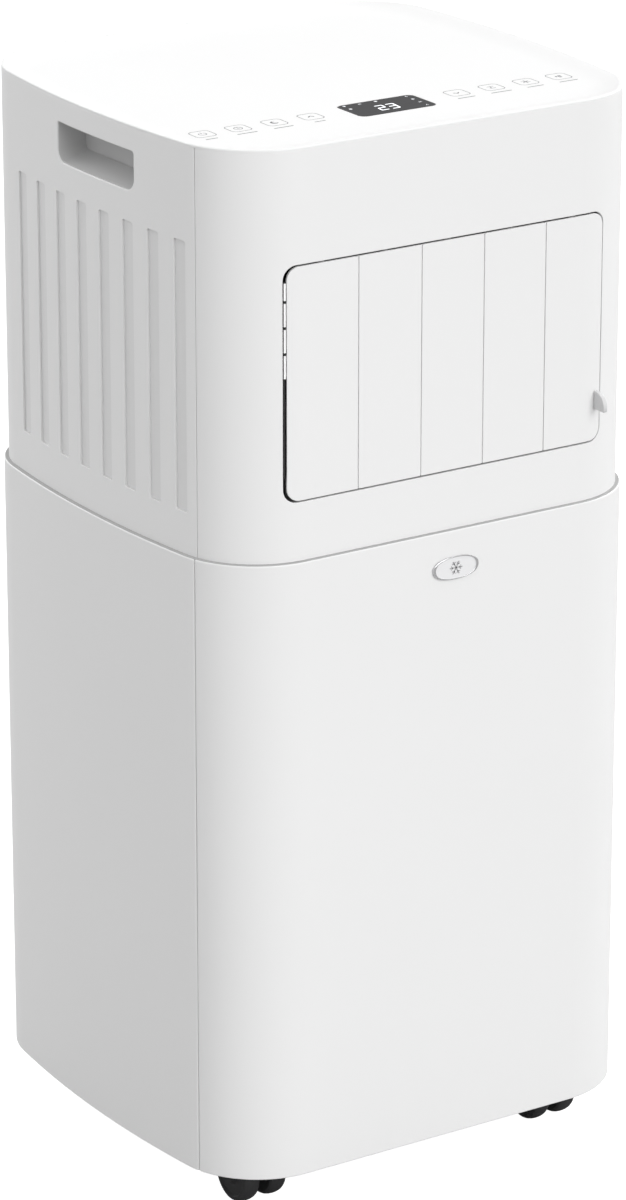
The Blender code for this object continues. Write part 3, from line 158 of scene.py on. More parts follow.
# Castors
# Four black twin-wheel castors: a moulded nylon hood and web on a steel stem, and two rolling wheels with
# soft treads on one steel axle.
def rounded_box(left, right, low, high, radius, step=0.003, fan=6, runs=None):
    """Outline of a rectangle with round corners, as a function of how far it has grown.

    One radius serves all four corners, or four run round from the lower right one. Each straight run is
    divided about every step, or into the given number of parts.
    """
    radii = np.broadcast_to(np.asarray(radius, float), 4)

    def grown(by):
        turns = np.radians(np.linspace(0, 90, fan + 1))
        places = ((right, low, -1, 1), (right, high, -1, -1), (left, high, 1, -1), (left, low, 1, 1))
        arcs = []
        for (x, y, to_x, to_y), start, size in zip(places, (-90, 0, 90, 180), radii):
            angle = np.radians(start) + turns
            centre = np.array([x + to_x * size, y + to_y * size])
            arcs.append(centre + max(size + by, 1e-5) * np.stack([np.cos(angle), np.sin(angle)], -1))
        points = []
        for here, after in zip(arcs, arcs[1:] + arcs[:1]):
            run = after[0] - here[-1]
            still = runs is None and np.linalg.norm(run) < 1e-6
            count = int(np.linalg.norm(run) / step) if runs is None else runs - 1
            points.append(here[:-1] if still else here)
            points.append(here[-1] + run * (np.arange(1, count + 1) / (count + 1))[:, None])
        return np.concatenate(points)

    return grown


def round_hole(a, b, radius, sides=40):
    """Outline of a circle, as a function of how far it has grown."""

    def grown(by):
        angle = np.arange(sides) * 2 * math.pi / sides
        return np.stack([a + (radius + by) * np.cos(angle), b + (radius + by) * np.sin(angle)], -1)

    return grown


def mapped(outline, change):
    """The same outline with its first coordinate changed, as when x becomes a distance along a curve."""
    return lambda by: np.stack([change(outline(by)[:, 0]), outline(by)[:, 1]], -1)


def free_outline(points):
    """Any smooth counter-clockwise outline. It grows along the mean of its neighbouring normals."""
    points = np.asarray(points, float)

    def grown(by):
        ahead = np.roll(points, -1, 0) - points
        ahead /= np.linalg.norm(ahead, axis=1, keepdims=True)
        mean = ahead + np.roll(ahead, 1, 0)
        out = np.stack([mean[:, 1], -mean[:, 0]], -1)
        out /= np.linalg.norm(out, axis=1, keepdims=True)
        cosine = np.sum(out * np.stack([ahead[:, 1], -ahead[:, 0]], -1), 1)
        return points + by * out / np.maximum(cosine, 0.5)[:, None]

    return grown


def arc(out, up, radius, start, end, steps=3):
    """Part of an edge profile: rows of (outwards, up, normal outwards, normal up).

    The normal turns from start to end in degrees, 0 pointing up and 90 outwards. A negative radius
    makes a hollow fillet.
    """
    angle = np.radians(np.linspace(start, end, steps + 1))
    sine, cosine = np.sin(angle), np.cos(angle)
    return np.stack([out + radius * sine, up + radius * cosine, sine, cosine], -1)


def rolled(edge, wall):
    """Edge of a plate: rounded over at the face and again at the back."""
    return np.concatenate([arc(-edge, -edge, edge, 0, 90), arc(-edge, edge - wall, edge, 90, 180)])


def dent(edge, depth, fillet):
    """Edge of a blind recess: rounded over at the face, with a fillet round its floor."""
    return np.concatenate([arc(-edge, -edge, edge, 0, 90, 2), arc(fillet, fillet - depth, -fillet, 90, 0, 2)])


def inside(points, loop):
    """Whether each point lies within a closed loop, by counting the edges a ray crosses."""
    found = np.zeros(len(points), bool)
    x0, y0 = loop[:, 0], loop[:, 1]
    x1, y1 = np.roll(x0, -1), np.roll(y0, -1)
    for first in range(0, len(points), 4000):
        x = points[first : first + 4000, 0, None]
        y = points[first : first + 4000, 1, None]
        spans = (y0 > y) != (y1 > y)
        cross = x0 + (y - y0) * (x1 - x0) / np.where(y1 == y0, 1e-12, y1 - y0)
        found[first : first + 4000] = (spans & (x < cross)).sum(1) % 2 == 1
    return found


def fill(border, voids, grid):
    """Triangles between a border and its voids, as rows of indices into border, voids, then grid."""
    loops = [border, *voids]
    points = np.concatenate([*loops, grid]) if len(grid) else np.concatenate(loops)
    edges, first = [], 0
    for loop in loops:
        count = len(loop)
        edges += [(first + i, first + (i + 1) % count) for i in range(count)]
        first += count
    _, _, faces, source, _, _ = delaunay_2d_cdt([Vector(p) for p in points], edges, [], 0, 1e-9)
    back = np.array([s[0] if s else -1 for s in source])
    faces = back[np.array(faces)]
    middle = points[faces].mean(1)
    keep = inside(middle, border)
    for loop in voids:
        keep &= ~inside(middle, loop)
    return faces[keep]


def directions(place, flat, depth):
    """Unit vectors of the surface along its first and second coordinates and outwards."""
    a, b = flat[:, 0], flat[:, 1]
    small = 1e-5
    along = place(a + small, b, depth) - place(a - small, b, depth)
    across = place(a, b + small, depth) - place(a, b - small, depth)
    out = place(a, b, depth - small) - place(a, b, depth + small)
    return [v / np.linalg.norm(v, axis=1, keepdims=True) for v in (along, across, out)]


def moulding(place, outline, rim, holes=(), dents=(), spacing=(0.02, 0.025), columns=None):
    """A plate laid on a surface, with a profiled rim, openings and blind recesses.

    place maps flat coordinates and a depth onto the surface. Each loop is carried along its profile:
    a row (outwards, up) grows the loop by outwards and sinks it by minus up. The face and the back
    are Delaunay fills between the first and the last rows.
    """
    points, normals, faces, borders = [], [], [], []
    total = 0
    edges = [(outline, rim, 1.0)] + [(loop, profile, -1.0) for loop, profile in (*holes, *dents)]
    for loop, profile, sign in edges:
        rows = []
        count = len(loop(0.0))
        for out, up, normal_out, normal_up in profile:
            flat = loop(sign * out)
            away = (loop(sign * out + 1e-5) - flat) * sign
            away /= np.linalg.norm(away, axis=1, keepdims=True)
            depth = np.full(count, -up)
            along, across, outward = directions(place, flat, depth)
            points.append(place(flat[:, 0], flat[:, 1], depth))
            lean = away[:, :1] * along + away[:, 1:] * across
            normal = normal_out * lean + normal_up * outward
            normals.append(normal / np.linalg.norm(normal, axis=1, keepdims=True))
            rows.append((total, flat))
            total += count
        ring = np.arange(count)
        after = (ring + 1) % count
        for (first, _), (second, _) in zip(rows, rows[1:]):
            quad = np.stack([first + ring, second + ring, second + after, first + after], -1)
            faces += (quad if sign > 0 else quad[:, ::-1]).tolist()
        borders.append(rows)
    front = [rows[0] for rows in borders]
    back = [rows[-1] for rows in borders[: 1 + len(holes)]]
    for rows in borders[1 + len(holes) :]:
        first, flat = rows[-1]
        faces.append([first + i for i in range(len(flat))])
    wall = rim[-1][1]
    for loops, depth, facing in ((front, 0.0 - rim[0][1], 1.0), (back, -wall, -1.0)):
        border = loops[0][1]
        voids = [flat for _, flat in loops[1:]]
        low, high = border.min(0), border.max(0)
        if columns is None:
            a = np.arange(low[0] + spacing[0] / 2, high[0], spacing[0])
        else:
            a = columns[(columns > low[0] + 0.0005) & (columns < high[0] - 0.0005)]
        b = np.arange(low[1] + spacing[1] / 2, high[1], spacing[1])
        grid = np.stack(np.meshgrid(a, b, indexing="ij"), -1).reshape(-1, 2)
        keep = inside(grid, outline(-0.0015 + min(0.0, rim[0][0] if facing > 0 else rim[-1][0])))
        for (hole, profile) in list(holes) + (list(dents) if facing > 0 else []):
            keep &= ~inside(grid, hole(0.0015))
        grid = grid[keep]
        depths = np.full(len(grid), depth)
        if len(grid):
            points.append(place(grid[:, 0], grid[:, 1], depths))
            normals.append(directions(place, grid, depths)[2] * facing)
        index = [np.arange(first, first + len(flat)) for first, flat in loops]
        index.append(np.arange(total, total + len(grid)))
        total += len(grid)
        triangles = np.concatenate(index)[fill(border, voids, grid)]
        faces += (triangles if facing > 0 else triangles[:, ::-1]).tolist()
    return np.concatenate(points), faces, np.concatenate(normals)


def skin(rows, closed_rows=False):
    """Closed surface through loops of equal length, capped unless the last row meets the first.

    The faces are turned round if the volume they enclose, a sum of p0 . (p1 x p2), is negative.
    """
    rows = np.asarray(rows, float)
    many, count = rows.shape[:2]
    points = rows.reshape(-1, 3)
    ring = np.arange(count)
    after = (ring + 1) % count
    start = np.arange(many if closed_rows else many - 1)[:, None] * count
    there = (start + count) % (many * count)
    quads = np.stack([start + ring, start + after, there + after, there + ring], -1).reshape(-1, 4)
    fans = [quads[:, :3], quads[:, [0, 2, 3]]]
    caps = []
    if not closed_rows:
        caps = [ring[::-1], ring + (many - 1) * count]
        fans += [np.stack([np.full(count - 2, cap[0]), cap[1:-1], cap[2:]], -1) for cap in caps]
    corners = points[np.concatenate(fans)] - points.mean(0)
    volume = np.einsum("ij,ij->", corners[:, 0], np.cross(corners[:, 1], corners[:, 2]))
    turn = -1 if volume < 0 else 1
    faces = quads[:, ::turn].tolist() + [cap[::turn].tolist() for cap in caps]
    return points, faces, None


def plate(outline, low, high):
    """A flat outline raised straight up between two heights."""
    outline = np.asarray(outline)
    return skin([np.column_stack([outline, np.full(len(outline), z)]) for z in (low, high)])


def standing(outline, front, back):
    """A flat outline in (x, z) given thickness along Y."""
    x, z = np.asarray(outline).T
    return skin([np.column_stack([x, np.full(len(x), y), z]) for y in (front, back)])


def band(outer, inner, low, high):
    """A flat ring between two outlines, raised straight up."""
    rows = ((outer, low), (outer, high), (inner, high), (inner, low))
    return skin([np.column_stack([line, np.full(len(line), z)]) for line, z in rows], True)


def turned(profile, centre, sides=48, closed=False):
    """A turned piece round an axis along X or Y: rows of (radius, place along the axis).

    centre is (None, y, z) for an axis along X and (x, None, z) for one along Y.
    """
    angle = np.arange(sides) * 2 * math.pi / sides
    rows = []
    for radius, along in profile:
        ring = [radius * np.cos(angle), radius * np.sin(angle)]
        level = np.full(sides, along)
        if centre[0] is None:
            rows.append(np.stack([level, centre[1] + ring[0], centre[2] + ring[1]], -1))
        else:
            rows.append(np.stack([centre[0] + ring[0], level, centre[2] + ring[1]], -1))
    return skin(rows, closed)


def block(low, high, edge=0.0):
    """A rectangular bar between two corners, with its upright edges rounded."""
    radius = max(edge, 1e-5)
    return plate(rounded_box(low[0], high[0], low[1], high[1], radius, 1.0, 3)(0.0), low[2], high[2])


def box(node):
    """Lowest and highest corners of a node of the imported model, as arrays."""
    return [np.array(corner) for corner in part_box(node)]


def corner_normals(points, faces, normals, angle):
    """Normals at each face corner: the given ones, or smooth ones that break at sharp edges."""
    if normals is not None:
        return normals[np.concatenate([np.array(face) for face in faces])]
    mesh = bpy.data.meshes.new("shading")
    mesh.from_pydata(points.tolist(), [], faces)
    mesh.shade_smooth()
    mesh.set_sharp_from_angle(angle=math.radians(angle))
    found = np.empty(len(mesh.loops) * 3, np.float32)
    mesh.corner_normals.foreach_get("vector", found)
    bpy.data.meshes.remove(mesh)
    return found.reshape(-1, 3)


def build(name, chunks, material, body="cabinet", replaces=(), angle=32):
    """One object from surface chunks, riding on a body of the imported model."""
    points, faces, shading = [], [], []
    total = 0
    for chunk in chunks:
        chunk_points, chunk_faces, chunk_normals = chunk
        shading.append(corner_normals(chunk_points, chunk_faces, chunk_normals, angle))
        points.append(chunk_points)
        faces += [[total + i for i in face] for face in chunk_faces]
        total += len(chunk_points)
    mesh = bpy.data.meshes.new(name)
    mesh.from_pydata(np.concatenate(points).tolist(), [], faces)
    mesh.shade_smooth()
    mesh.normals_split_custom_set(np.concatenate(shading).tolist())
    mesh.materials.append(material)
    piece = bpy.data.objects.new(name, mesh)
    scene.collection.objects.link(piece)
    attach(piece, body)
    if replaces:
        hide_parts(*replaces)
    return piece


def finish_group():
    """Shared finish of moulded plastics: cloudy tint, grain height and roughness in small patches.

    Tint = colour times (1 + variation times broad noise). Height = fine noise. Roughness = base plus
    spread times a middle-sized noise.
    """
    group = bpy.data.node_groups.new("moulded_finish", "ShaderNodeTree")
    wires = group.interface
    for name, kind, value in (
        ("Colour", "NodeSocketColor", (0.8, 0.8, 0.8, 1.0)),
        ("Variation", "NodeSocketFloat", 0.02),
        ("Base Roughness", "NodeSocketFloat", 0.4),
        ("Spread", "NodeSocketFloat", 0.06),
        ("Grain Scale", "NodeSocketFloat", 1800.0),
    ):
        socket = wires.new_socket(name, in_out="INPUT", socket_type=kind)
        socket.default_value = value
    outputs = (("Tint", "NodeSocketColor"), ("Roughness", "NodeSocketFloat"), ("Height", "NodeSocketFloat"))
    for name, kind in outputs:
        wires.new_socket(name, in_out="OUTPUT", socket_type=kind)
    tree = group.nodes
    link = group.links.new
    given, sent = tree.new("NodeGroupInput"), tree.new("NodeGroupOutput")
    place = tree.new("ShaderNodeTexCoord")

    def noise(scale, detail):
        made = tree.new("ShaderNodeTexNoise")
        made.inputs["Detail"].default_value = detail
        link(place.outputs["Object"], made.inputs["Vector"])
        if scale is None:
            link(given.outputs["Grain Scale"], made.inputs["Scale"])
        else:
            made.inputs["Scale"].default_value = scale
        return made.outputs["Fac"]

    def maths(operation, *values):
        made = tree.new("ShaderNodeMath")
        made.operation = operation
        for socket, value in zip(made.inputs, values):
            if isinstance(value, (int, float)):
                socket.default_value = value
            else:
                link(value, socket)
        return made.outputs["Value"]

    cloud = maths("SUBTRACT", noise(7.0, 3.0), 0.5)
    factor = maths("ADD", maths("MULTIPLY", cloud, given.outputs["Variation"]), 1.0)
    scaled = tree.new("ShaderNodeVectorMath")
    scaled.operation = "SCALE"
    link(given.outputs["Colour"], scaled.inputs[0])
    link(factor, scaled.inputs["Scale"])
    link(scaled.outputs["Vector"], sent.inputs["Tint"])
    patch = maths("SUBTRACT", noise(60.0, 4.0), 0.5)
    rough = maths("ADD", maths("MULTIPLY", patch, given.outputs["Spread"]), given.outputs["Base Roughness"])
    link(rough, sent.inputs["Roughness"])
    link(noise(None, 2.0), sent.inputs["Height"])
    return group


MOULDED_FINISH = finish_group()


def moulded(
    name, colour, roughness, variation=0.02, spread=0.06, grain=1800.0, bump=0.00002,
    metallic=0.0, coat=0.0, glow=0.0,
):
    """A material that uses the shared moulded finish with its own values."""
    material = bpy.data.materials.new(name)
    material.use_nodes = True
    tree = material.node_tree
    shader = tree.nodes["Principled BSDF"]
    finish = tree.nodes.new("ShaderNodeGroup")
    finish.node_tree = MOULDED_FINISH
    finish.inputs["Colour"].default_value = (*colour, 1.0)
    finish.inputs["Variation"].default_value = variation
    finish.inputs["Base Roughness"].default_value = roughness
    finish.inputs["Spread"].default_value = spread
    finish.inputs["Grain Scale"].default_value = grain
    relief = tree.nodes.new("ShaderNodeBump")
    relief.inputs["Strength"].default_value = 1.0
    relief.inputs["Distance"].default_value = bump
    tree.links.new(finish.outputs["Tint"], shader.inputs["Base Color"])
    tree.links.new(finish.outputs["Roughness"], shader.inputs["Roughness"])
    tree.links.new(finish.outputs["Height"], relief.inputs["Height"])
    tree.links.new(relief.outputs["Normal"], shader.inputs["Normal"])
    shader.inputs["Metallic"].default_value = metallic
    shader.inputs["Coat Weight"].default_value = coat
    shader.inputs["Coat Roughness"].default_value = 0.15
    shader.inputs["Emission Color"].default_value = (*colour, 1.0)
    shader.inputs["Emission Strength"].default_value = glow
    return material


def dress(material, *names):
    """Gives carried-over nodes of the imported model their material."""
    for name in names:
        slots = nodes[name].material_slots
        for slot in slots:
            slot.material = material
        if not slots:
            nodes[name].data.materials.append(material)


black_nylon = moulded("black_nylon", (0.018, 0.018, 0.019), 0.42, 0.2, 0.12, 900.0, 0.00004)
wheel_tread = moulded("wheel_tread", (0.022, 0.022, 0.023), 0.6, 0.3, 0.15, 1400.0, 0.00006)
bright_zinc = moulded("bright_zinc", (0.62, 0.63, 0.64), 0.32, 0.08, 0.2, 500.0, 0.00002, metallic=1.0)
PLACES = ("front_left", "front_right", "rear_left", "rear_right")
HOOD_GAP, HOOD_WALL, WEB_HALF, PAN_GAP = 0.0012, 0.0022, 0.0031, 0.0006
STEM_OFFSET, STEM_RADIUS, STEM_LENGTH, DISC_RADIUS = 0.012, 0.004, 0.0144, 0.010


def side_face(left):
    """Maps a profile seen from the left, drawn as (-y, z), onto an upright plane facing -X."""
    return lambda a, b, depth: np.stack([left + depth, -a + 0.0 * b, b + 0.0 * a], -1)


def castor_hood(place):
    """Hood arc from 10 to 170 degrees round the axle, cut level just under the pan."""
    low, high = box(f"castor_{place}_wheel_a")
    far = box(f"castor_{place}_wheel_b")[1][0]
    left, right = low[0], far
    y, z = (low[1] + high[1]) / 2, (low[2] + high[2]) / 2
    inner = (high[2] - low[2]) / 2 + HOOD_GAP
    outer = inner + HOOD_WALL
    top = box("base_pan")[0][2] - PAN_GAP
    turn = np.radians(np.linspace(10, 170, 29))
    over = np.stack([outer * np.cos(turn) - y, np.minimum(z + outer * np.sin(turn), top)], -1)
    under = np.stack([inner * np.cos(turn) - y, np.minimum(z + inner * np.sin(turn), top - 0.001)], -1)
    arch = free_outline(np.concatenate([over, under[::-1]]))
    hood = moulding(side_face(left), arch, rolled(0.0004, right - left), spacing=(1, 1))
    middle = (left + right) / 2
    turn = np.radians(np.linspace(0, 180, 19))
    web = np.stack([(inner + 0.001) * np.cos(turn), (inner + 0.001) * np.sin(turn)], -1)
    turn = np.radians(np.linspace(210, 330, 9))
    web = np.concatenate([web, 0.009 * np.stack([np.cos(turn), np.sin(turn)], -1)])
    web = free_outline(np.stack([web[:, 0] - y, np.minimum(web[:, 1] + z, top)], -1))
    webbing = moulding(side_face(middle - WEB_HALF), web, rolled(0.0005, 2 * WEB_HALF), spacing=(1, 1))
    stem_y = y + STEM_OFFSET
    disc = plate(round_hole(middle, stem_y, DISC_RADIUS, 40)(0.0), z + inner * 0.72, top)
    return [hood, webbing, disc], (middle, y, z, stem_y, top)


def castor_wheel(name, inner, outer, y, z, radius):
    """A wheel from its inner to its outer side: hub, dished web, rim shoulder and rounded tread."""
    way = math.copysign(1.0, outer - inner)
    wide = abs(outer - inner)
    bore, crown = 0.0023, 0.0022
    steps = [(bore, 0.0), (0.0145, 0.0), (0.0165, 0.0002)]
    turn = np.radians(np.linspace(-90, 90, 9))
    across = wide / 2 + (wide / 2 - 0.0006) * np.sin(turn)
    tread = np.stack([radius - crown + crown * np.cos(turn), across], -1)
    rim = [(0.0160, wide - 0.0003), (0.0150, wide - 0.0004), (0.0142, wide - 0.0016), (0.0070, wide - 0.0020)]
    hub = [(0.0062, wide - 0.0012), (0.0050, wide - 0.0001), (0.0034, wide), (bore, wide - 0.0002)]
    profile = np.array(steps + tread.tolist() + rim + hub)
    profile[:, 1] = inner + way * profile[:, 1]
    wheel = turned(profile, (None, y, z), 56, closed=True)
    return build(name + "_tread", [wheel], wheel_tread, name, [name])


for place in PLACES:
    chunks, (middle, y, z, stem_y, top) = castor_hood(place)
    rider = f"castor_{place}"
    build(f"{rider}_hood", chunks, black_nylon, rider, [f"{rider}_housing"])
    stem = plate(round_hole(middle, stem_y, STEM_RADIUS, 24)(0.0), top - 0.001, top + STEM_LENGTH)
    build(f"{rider}_stem", [stem], bright_zinc, rider, [])
    for side in "ab":
        name = f"{rider}_wheel_{side}"
        low, high = box(name)
        ends = (high[0], low[0]) if side == "a" else (low[0], high[0])
        castor_wheel(name, *ends, y, z, (high[2] - low[2]) / 2)
    low, high = box(f"{rider}_axle")
    pin = [(0.0004, low[0]), (0.0014, low[0]), (0.0019, low[0] + 0.0005)]
    pin += [(0.0019, high[0] - 0.0005), (0.0014, high[0]), (0.0004, high[0])]
    pin_piece = turned(pin, (None, y, z), 24)
    build(f"{rider}_axle_pin", [pin_piece], bright_zinc, rider, [f"{rider}_axle"])


# Base pan and hot side
# The grey moulded pan carries the black painted compressor, the condenser with its aluminium fins, the
# copper pipes and the foam scroll of the exhaust blower. They bolt down before the covers go on.
grey_plastic = moulded("grey_plastic", (0.55, 0.56, 0.57), 0.5, 0.05, 0.1, 900.0, 0.00005)
painted_black = moulded("painted_black", (0.03, 0.03, 0.032), 0.35, 0.3, 0.15, 300.0, 0.00015)
pipe_copper = moulded("pipe_copper", (0.72, 0.36, 0.22), 0.3, 0.25, 0.2, 200.0, 0.00005, metallic=1.0)
board_green = moulded("board_green", (0.03, 0.16, 0.07), 0.4, 0.2, 0.1, 700.0, 0.00005)


def fin_material():
    """Aluminium fins: a fine wave along X paints shade in the gaps between fins and a slight highlight on
    their edges.
    """
    material = moulded("condenser_fins", (0.66, 0.67, 0.69), 0.36, 0.1, 0.1, 700.0, 0.00002, metallic=0.9)
    tree = material.node_tree
    shader = tree.nodes["Principled BSDF"]
    place = tree.nodes.new("ShaderNodeTexCoord")
    wave = tree.nodes.new("ShaderNodeTexWave")
    wave.inputs["Scale"].default_value = 180.0
    tree.links.new(place.outputs["Object"], wave.inputs["Vector"])
    # Painted shade in the fin gaps and painted highlight on the fin edges.
    ramp = tree.nodes.new("ShaderNodeValToRGB")
    ramp.color_ramp.elements[0].color = (0.06, 0.06, 0.06, 1.0)
    ramp.color_ramp.elements[1].color = (0.72, 0.73, 0.75, 1.0)
    tree.links.new(wave.outputs["Fac"], ramp.inputs["Fac"])
    tree.links.new(ramp.outputs["Color"], shader.inputs["Base Color"])
    return material


def foam_material():
    """Expanded polystyrene: rounded beads from a cell pattern, pale with darker seams."""
    material = moulded("foam_beads", (0.88, 0.88, 0.86), 0.85, 0.06, 0.05, 900.0, 0.0001)
    tree = material.node_tree
    place = tree.nodes.new("ShaderNodeTexCoord")
    cells = tree.nodes.new("ShaderNodeTexVoronoi")
    cells.inputs["Scale"].default_value = 300.0
    tree.links.new(place.outputs["Object"], cells.inputs["Vector"])
    relief = next(n for n in tree.nodes if n.bl_idname == "ShaderNodeBump")
    relief.inputs["Distance"].default_value = 0.0006
    relief.invert = True
    tree.links.new(cells.outputs["Distance"], relief.inputs["Height"])
    return material


fins = fin_material()
foam_beads = foam_material()
dress(grey_plastic, "base_pan", "electric_box")
dress(painted_black, "compressor")
dress(fins, "condenser")
dress(pipe_copper, "suction_pipe", "discharge_pipe")
dress(foam_beads, "lower_scroll")
dress(black_nylon, "lower_blower_wheel")
dress(bright_zinc, "lower_motor")


# Lower covers
# Two injection-moulded ABS shells, white with a fine satin grain. They hook together along an upright
# seam near each front corner, and every free edge is rolled over by a millimetre or less.
BODY_CORNER_RADIUS = 0.058
BODY_SIDE_RADIUS = 0.865
SEAM_ANGLE = math.radians(-17.5)
SEAM_GAP = 0.0003

lower_low, lower_high = box("lower_rear_cover")
front_low = box("lower_front_cover")[0]
HALF_WIDTH = lower_high[0]
HALF_DEPTH = -front_low[1]
SKIRT_Z, STEP_Z = lower_low[2], lower_high[2]
LOWER_WALL = 0.0027
BOW_CENTRE = HALF_WIDTH - BODY_SIDE_RADIUS
CORNER_Y = HALF_DEPTH - BODY_CORNER_RADIUS
CORNER_X = BOW_CENTRE + math.sqrt((BODY_SIDE_RADIUS - BODY_CORNER_RADIUS) ** 2 - CORNER_Y**2)
TANGENT = math.atan2(CORNER_Y, CORNER_X - BOW_CENTRE)
CORNER_RUN = BODY_CORNER_RADIUS * (math.pi / 2 - TANGENT)
BOW_RUN = 2 * BODY_SIDE_RADIUS * TANGENT
HALF_LAP = 2 * CORNER_X + 2 * CORNER_RUN + BOW_RUN


def around(way, inset):
    """Body outline at a distance along it from the front middle, to the right when positive.

    Each quarter is a straight run, a corner arc and half of a wide side arc, and the other three
    quarters mirror it. An inset makes every radius smaller about the same centres.
    """
    way = (np.asarray(way, float) + HALF_LAP) % (2 * HALF_LAP) - HALF_LAP
    side = np.where(way < 0, -1.0, 1.0)
    run = np.abs(way)
    rear = np.where(run > HALF_LAP / 2, -1.0, 1.0)
    run = np.minimum(run, HALF_LAP - run)
    corner = -math.pi / 2 + (run - CORNER_X) / BODY_CORNER_RADIUS
    bow = -TANGENT + (run - CORNER_X - CORNER_RUN) / BODY_SIDE_RADIUS
    parts = [run <= CORNER_X, run <= CORNER_X + CORNER_RUN]
    small, wide = BODY_CORNER_RADIUS - inset, BODY_SIDE_RADIUS - inset
    x = np.select(parts, [run, CORNER_X + small * np.cos(corner)], BOW_CENTRE + wide * np.cos(bow))
    y = np.select(parts, [inset - HALF_DEPTH, small * np.sin(corner) - CORNER_Y], wide * np.sin(bow))
    return x * side, y * rear


def way_to_x(x, inset):
    """Distance along the front outline to the place x, the inverse of around() there."""
    x = np.asarray(x, float)
    over = np.clip((np.abs(x) - CORNER_X) / (BODY_CORNER_RADIUS - inset), 0, 1)
    return np.sign(x) * (np.minimum(np.abs(x), CORNER_X) + BODY_CORNER_RADIUS * np.arcsin(over))


def way_to_y(y, inset):
    """Distance along the outline to the place y on the right-hand side."""
    return HALF_LAP / 2 + BODY_SIDE_RADIUS * np.arcsin(np.asarray(y, float) / (BODY_SIDE_RADIUS - inset))


def body_face(inset):
    """Maps (distance along the outline, height, depth under the face) onto the body."""

    def place(a, b, depth):
        x, y = around(a, inset + depth)
        return np.stack([x, y, np.broadcast_to(b, x.shape)], -1)

    return place


white_abs = moulded("white_abs", (0.80, 0.80, 0.80), 0.42)


def body_columns():
    """Places for mesh columns: close together round the corners, wider on the sides and faces."""
    quarter = np.concatenate([
        np.linspace(0, CORNER_X, 6)[:-1],
        CORNER_X + np.linspace(0, CORNER_RUN, 34)[:-1],
        CORNER_X + CORNER_RUN + np.linspace(0, BOW_RUN / 2, 12),
    ])
    half = np.concatenate([quarter, HALF_LAP - quarter[::-1][1:]])
    return np.unique(np.concatenate([-half, half, 2 * HALF_LAP - half]))


BODY_COLUMNS = body_columns()
SEAM_WAY = CORNER_X + BODY_CORNER_RADIUS * (math.pi / 2 + SEAM_ANGLE)

seam = SEAM_WAY - SEAM_GAP / 2
outline = rounded_box(-seam, seam, SKIRT_Z, STEP_Z, 0.0012, step=0.0026)
panel = moulding(body_face(0.0), outline, rolled(0.0009, LOWER_WALL), columns=BODY_COLUMNS)
build("lower_front_shell", [panel], white_abs, replaces=["lower_front_cover"])

collar_low, collar_high = box("exhaust_collar")
COLLAR_Z = (collar_low[2] + collar_high[2]) / 2
COLLAR_RADIUS = 0.064
grille_low, grille_high = box("condenser_grille")
gland_low, gland_high = box("cord_gland")
drain_low, drain_high = box("drain_plug")


def rear_way(x, inset=0.0):
    """Distance along the outline to the place x on the rear."""
    return HALF_LAP - way_to_x(x, inset)


def rear_opening(low, high, radius, inset):
    """An opening that a rear grille fills, a hair's breadth larger than it."""
    hair = 0.0003
    ends = rear_way(high[0], inset) - hair, rear_way(low[0], inset) + hair
    return rounded_box(*ends, low[2] - hair, high[2] + hair, radius)


seam = SEAM_WAY + SEAM_GAP / 2
outline = rounded_box(seam, 2 * HALF_LAP - seam, SKIRT_Z, STEP_Z, 0.0012, step=0.0026)
edge = rolled(0.0009, LOWER_WALL)
small_edge = rolled(0.0005, LOWER_WALL)
holes = [
    (round_hole(HALF_LAP, COLLAR_Z, COLLAR_RADIUS + 0.0003, 72), small_edge),
    (rear_opening(grille_low, grille_high, 0.008, 0.0), small_edge),
]
for low, high in ((gland_low, gland_high), (drain_low, drain_high)):
    middle = (low + high) / 2
    holes.append((round_hole(float(rear_way(middle[0])), middle[2], 0.0093, 32), small_edge))
panel = moulding(body_face(0.0), outline, edge, holes, columns=BODY_COLUMNS)
build("lower_rear_shell", [panel], white_abs, replaces=["lower_rear_cover"])


# Drip tray and cold side
# A grey tray on the shelf catches the water from the finned evaporator, and a foam block guides the air
# round a long bladed drum to the outlet.
dress(grey_plastic, "drip_tray")
dress(fins, "evaporator")
dress(foam_beads, "upper_scroll")
dress(black_nylon, "upper_blower_drum")
dress(bright_zinc, "upper_motor")
dress(board_green, "control_board")


# Upper covers
# Two more white shells of the same moulding, set 3 mm inside the lower ones. The front one is open for
# the louvre; the rear one has eight shallow flutes, each floored by a matt strip of a darker white that
# paints the shade in the flute, and a grip opening on each side. A grey band lies in the step round them,
# painted shadow of the gap between the upper and lower covers.
UPPER_SETBACK = 0.003
UPPER_WALL = 0.003
upper_low, upper_high = box("upper_rear_cover")
UPPER_FACE = body_face(UPPER_SETBACK)
RIM_BOTTOM = upper_high[2]
OUTLET = (-0.1161, 0.1190, STEP_Z + 0.0375, STEP_Z + 0.1864)
OUTLET_CORNER = 0.009
FLUTES = 8
FLUTE_WIDTH, FLUTE_PITCH, FLUTE_MIDDLE, FLUTE_CORNER = 0.0113, 0.02625, -0.0079, 0.0015
FLUTE_MIDDLES = [FLUTE_MIDDLE + (index - (FLUTES - 1) / 2) * FLUTE_PITCH for index in range(FLUTES)]
FLUTE_ENDS = [(middle - FLUTE_WIDTH / 2, middle + FLUTE_WIDTH / 2) for middle in FLUTE_MIDDLES]
FLUTE_LOW, FLUTE_HIGH = STEP_Z + 0.0271, STEP_Z + 0.1976
FLUTE_DEPTH = 0.0016
TOTAL_Z = cad_box[1][2]
GRIP_MIDDLE, GRIP_WIDTH = -0.0103, 0.0885
GRIP_HIGH = TOTAL_Z - 0.0163
GRIP_LOW = GRIP_HIGH - 0.0252


def along_front(inset):
    """A function from x on the front to the distance along the outline."""
    return lambda x: way_to_x(x, inset)


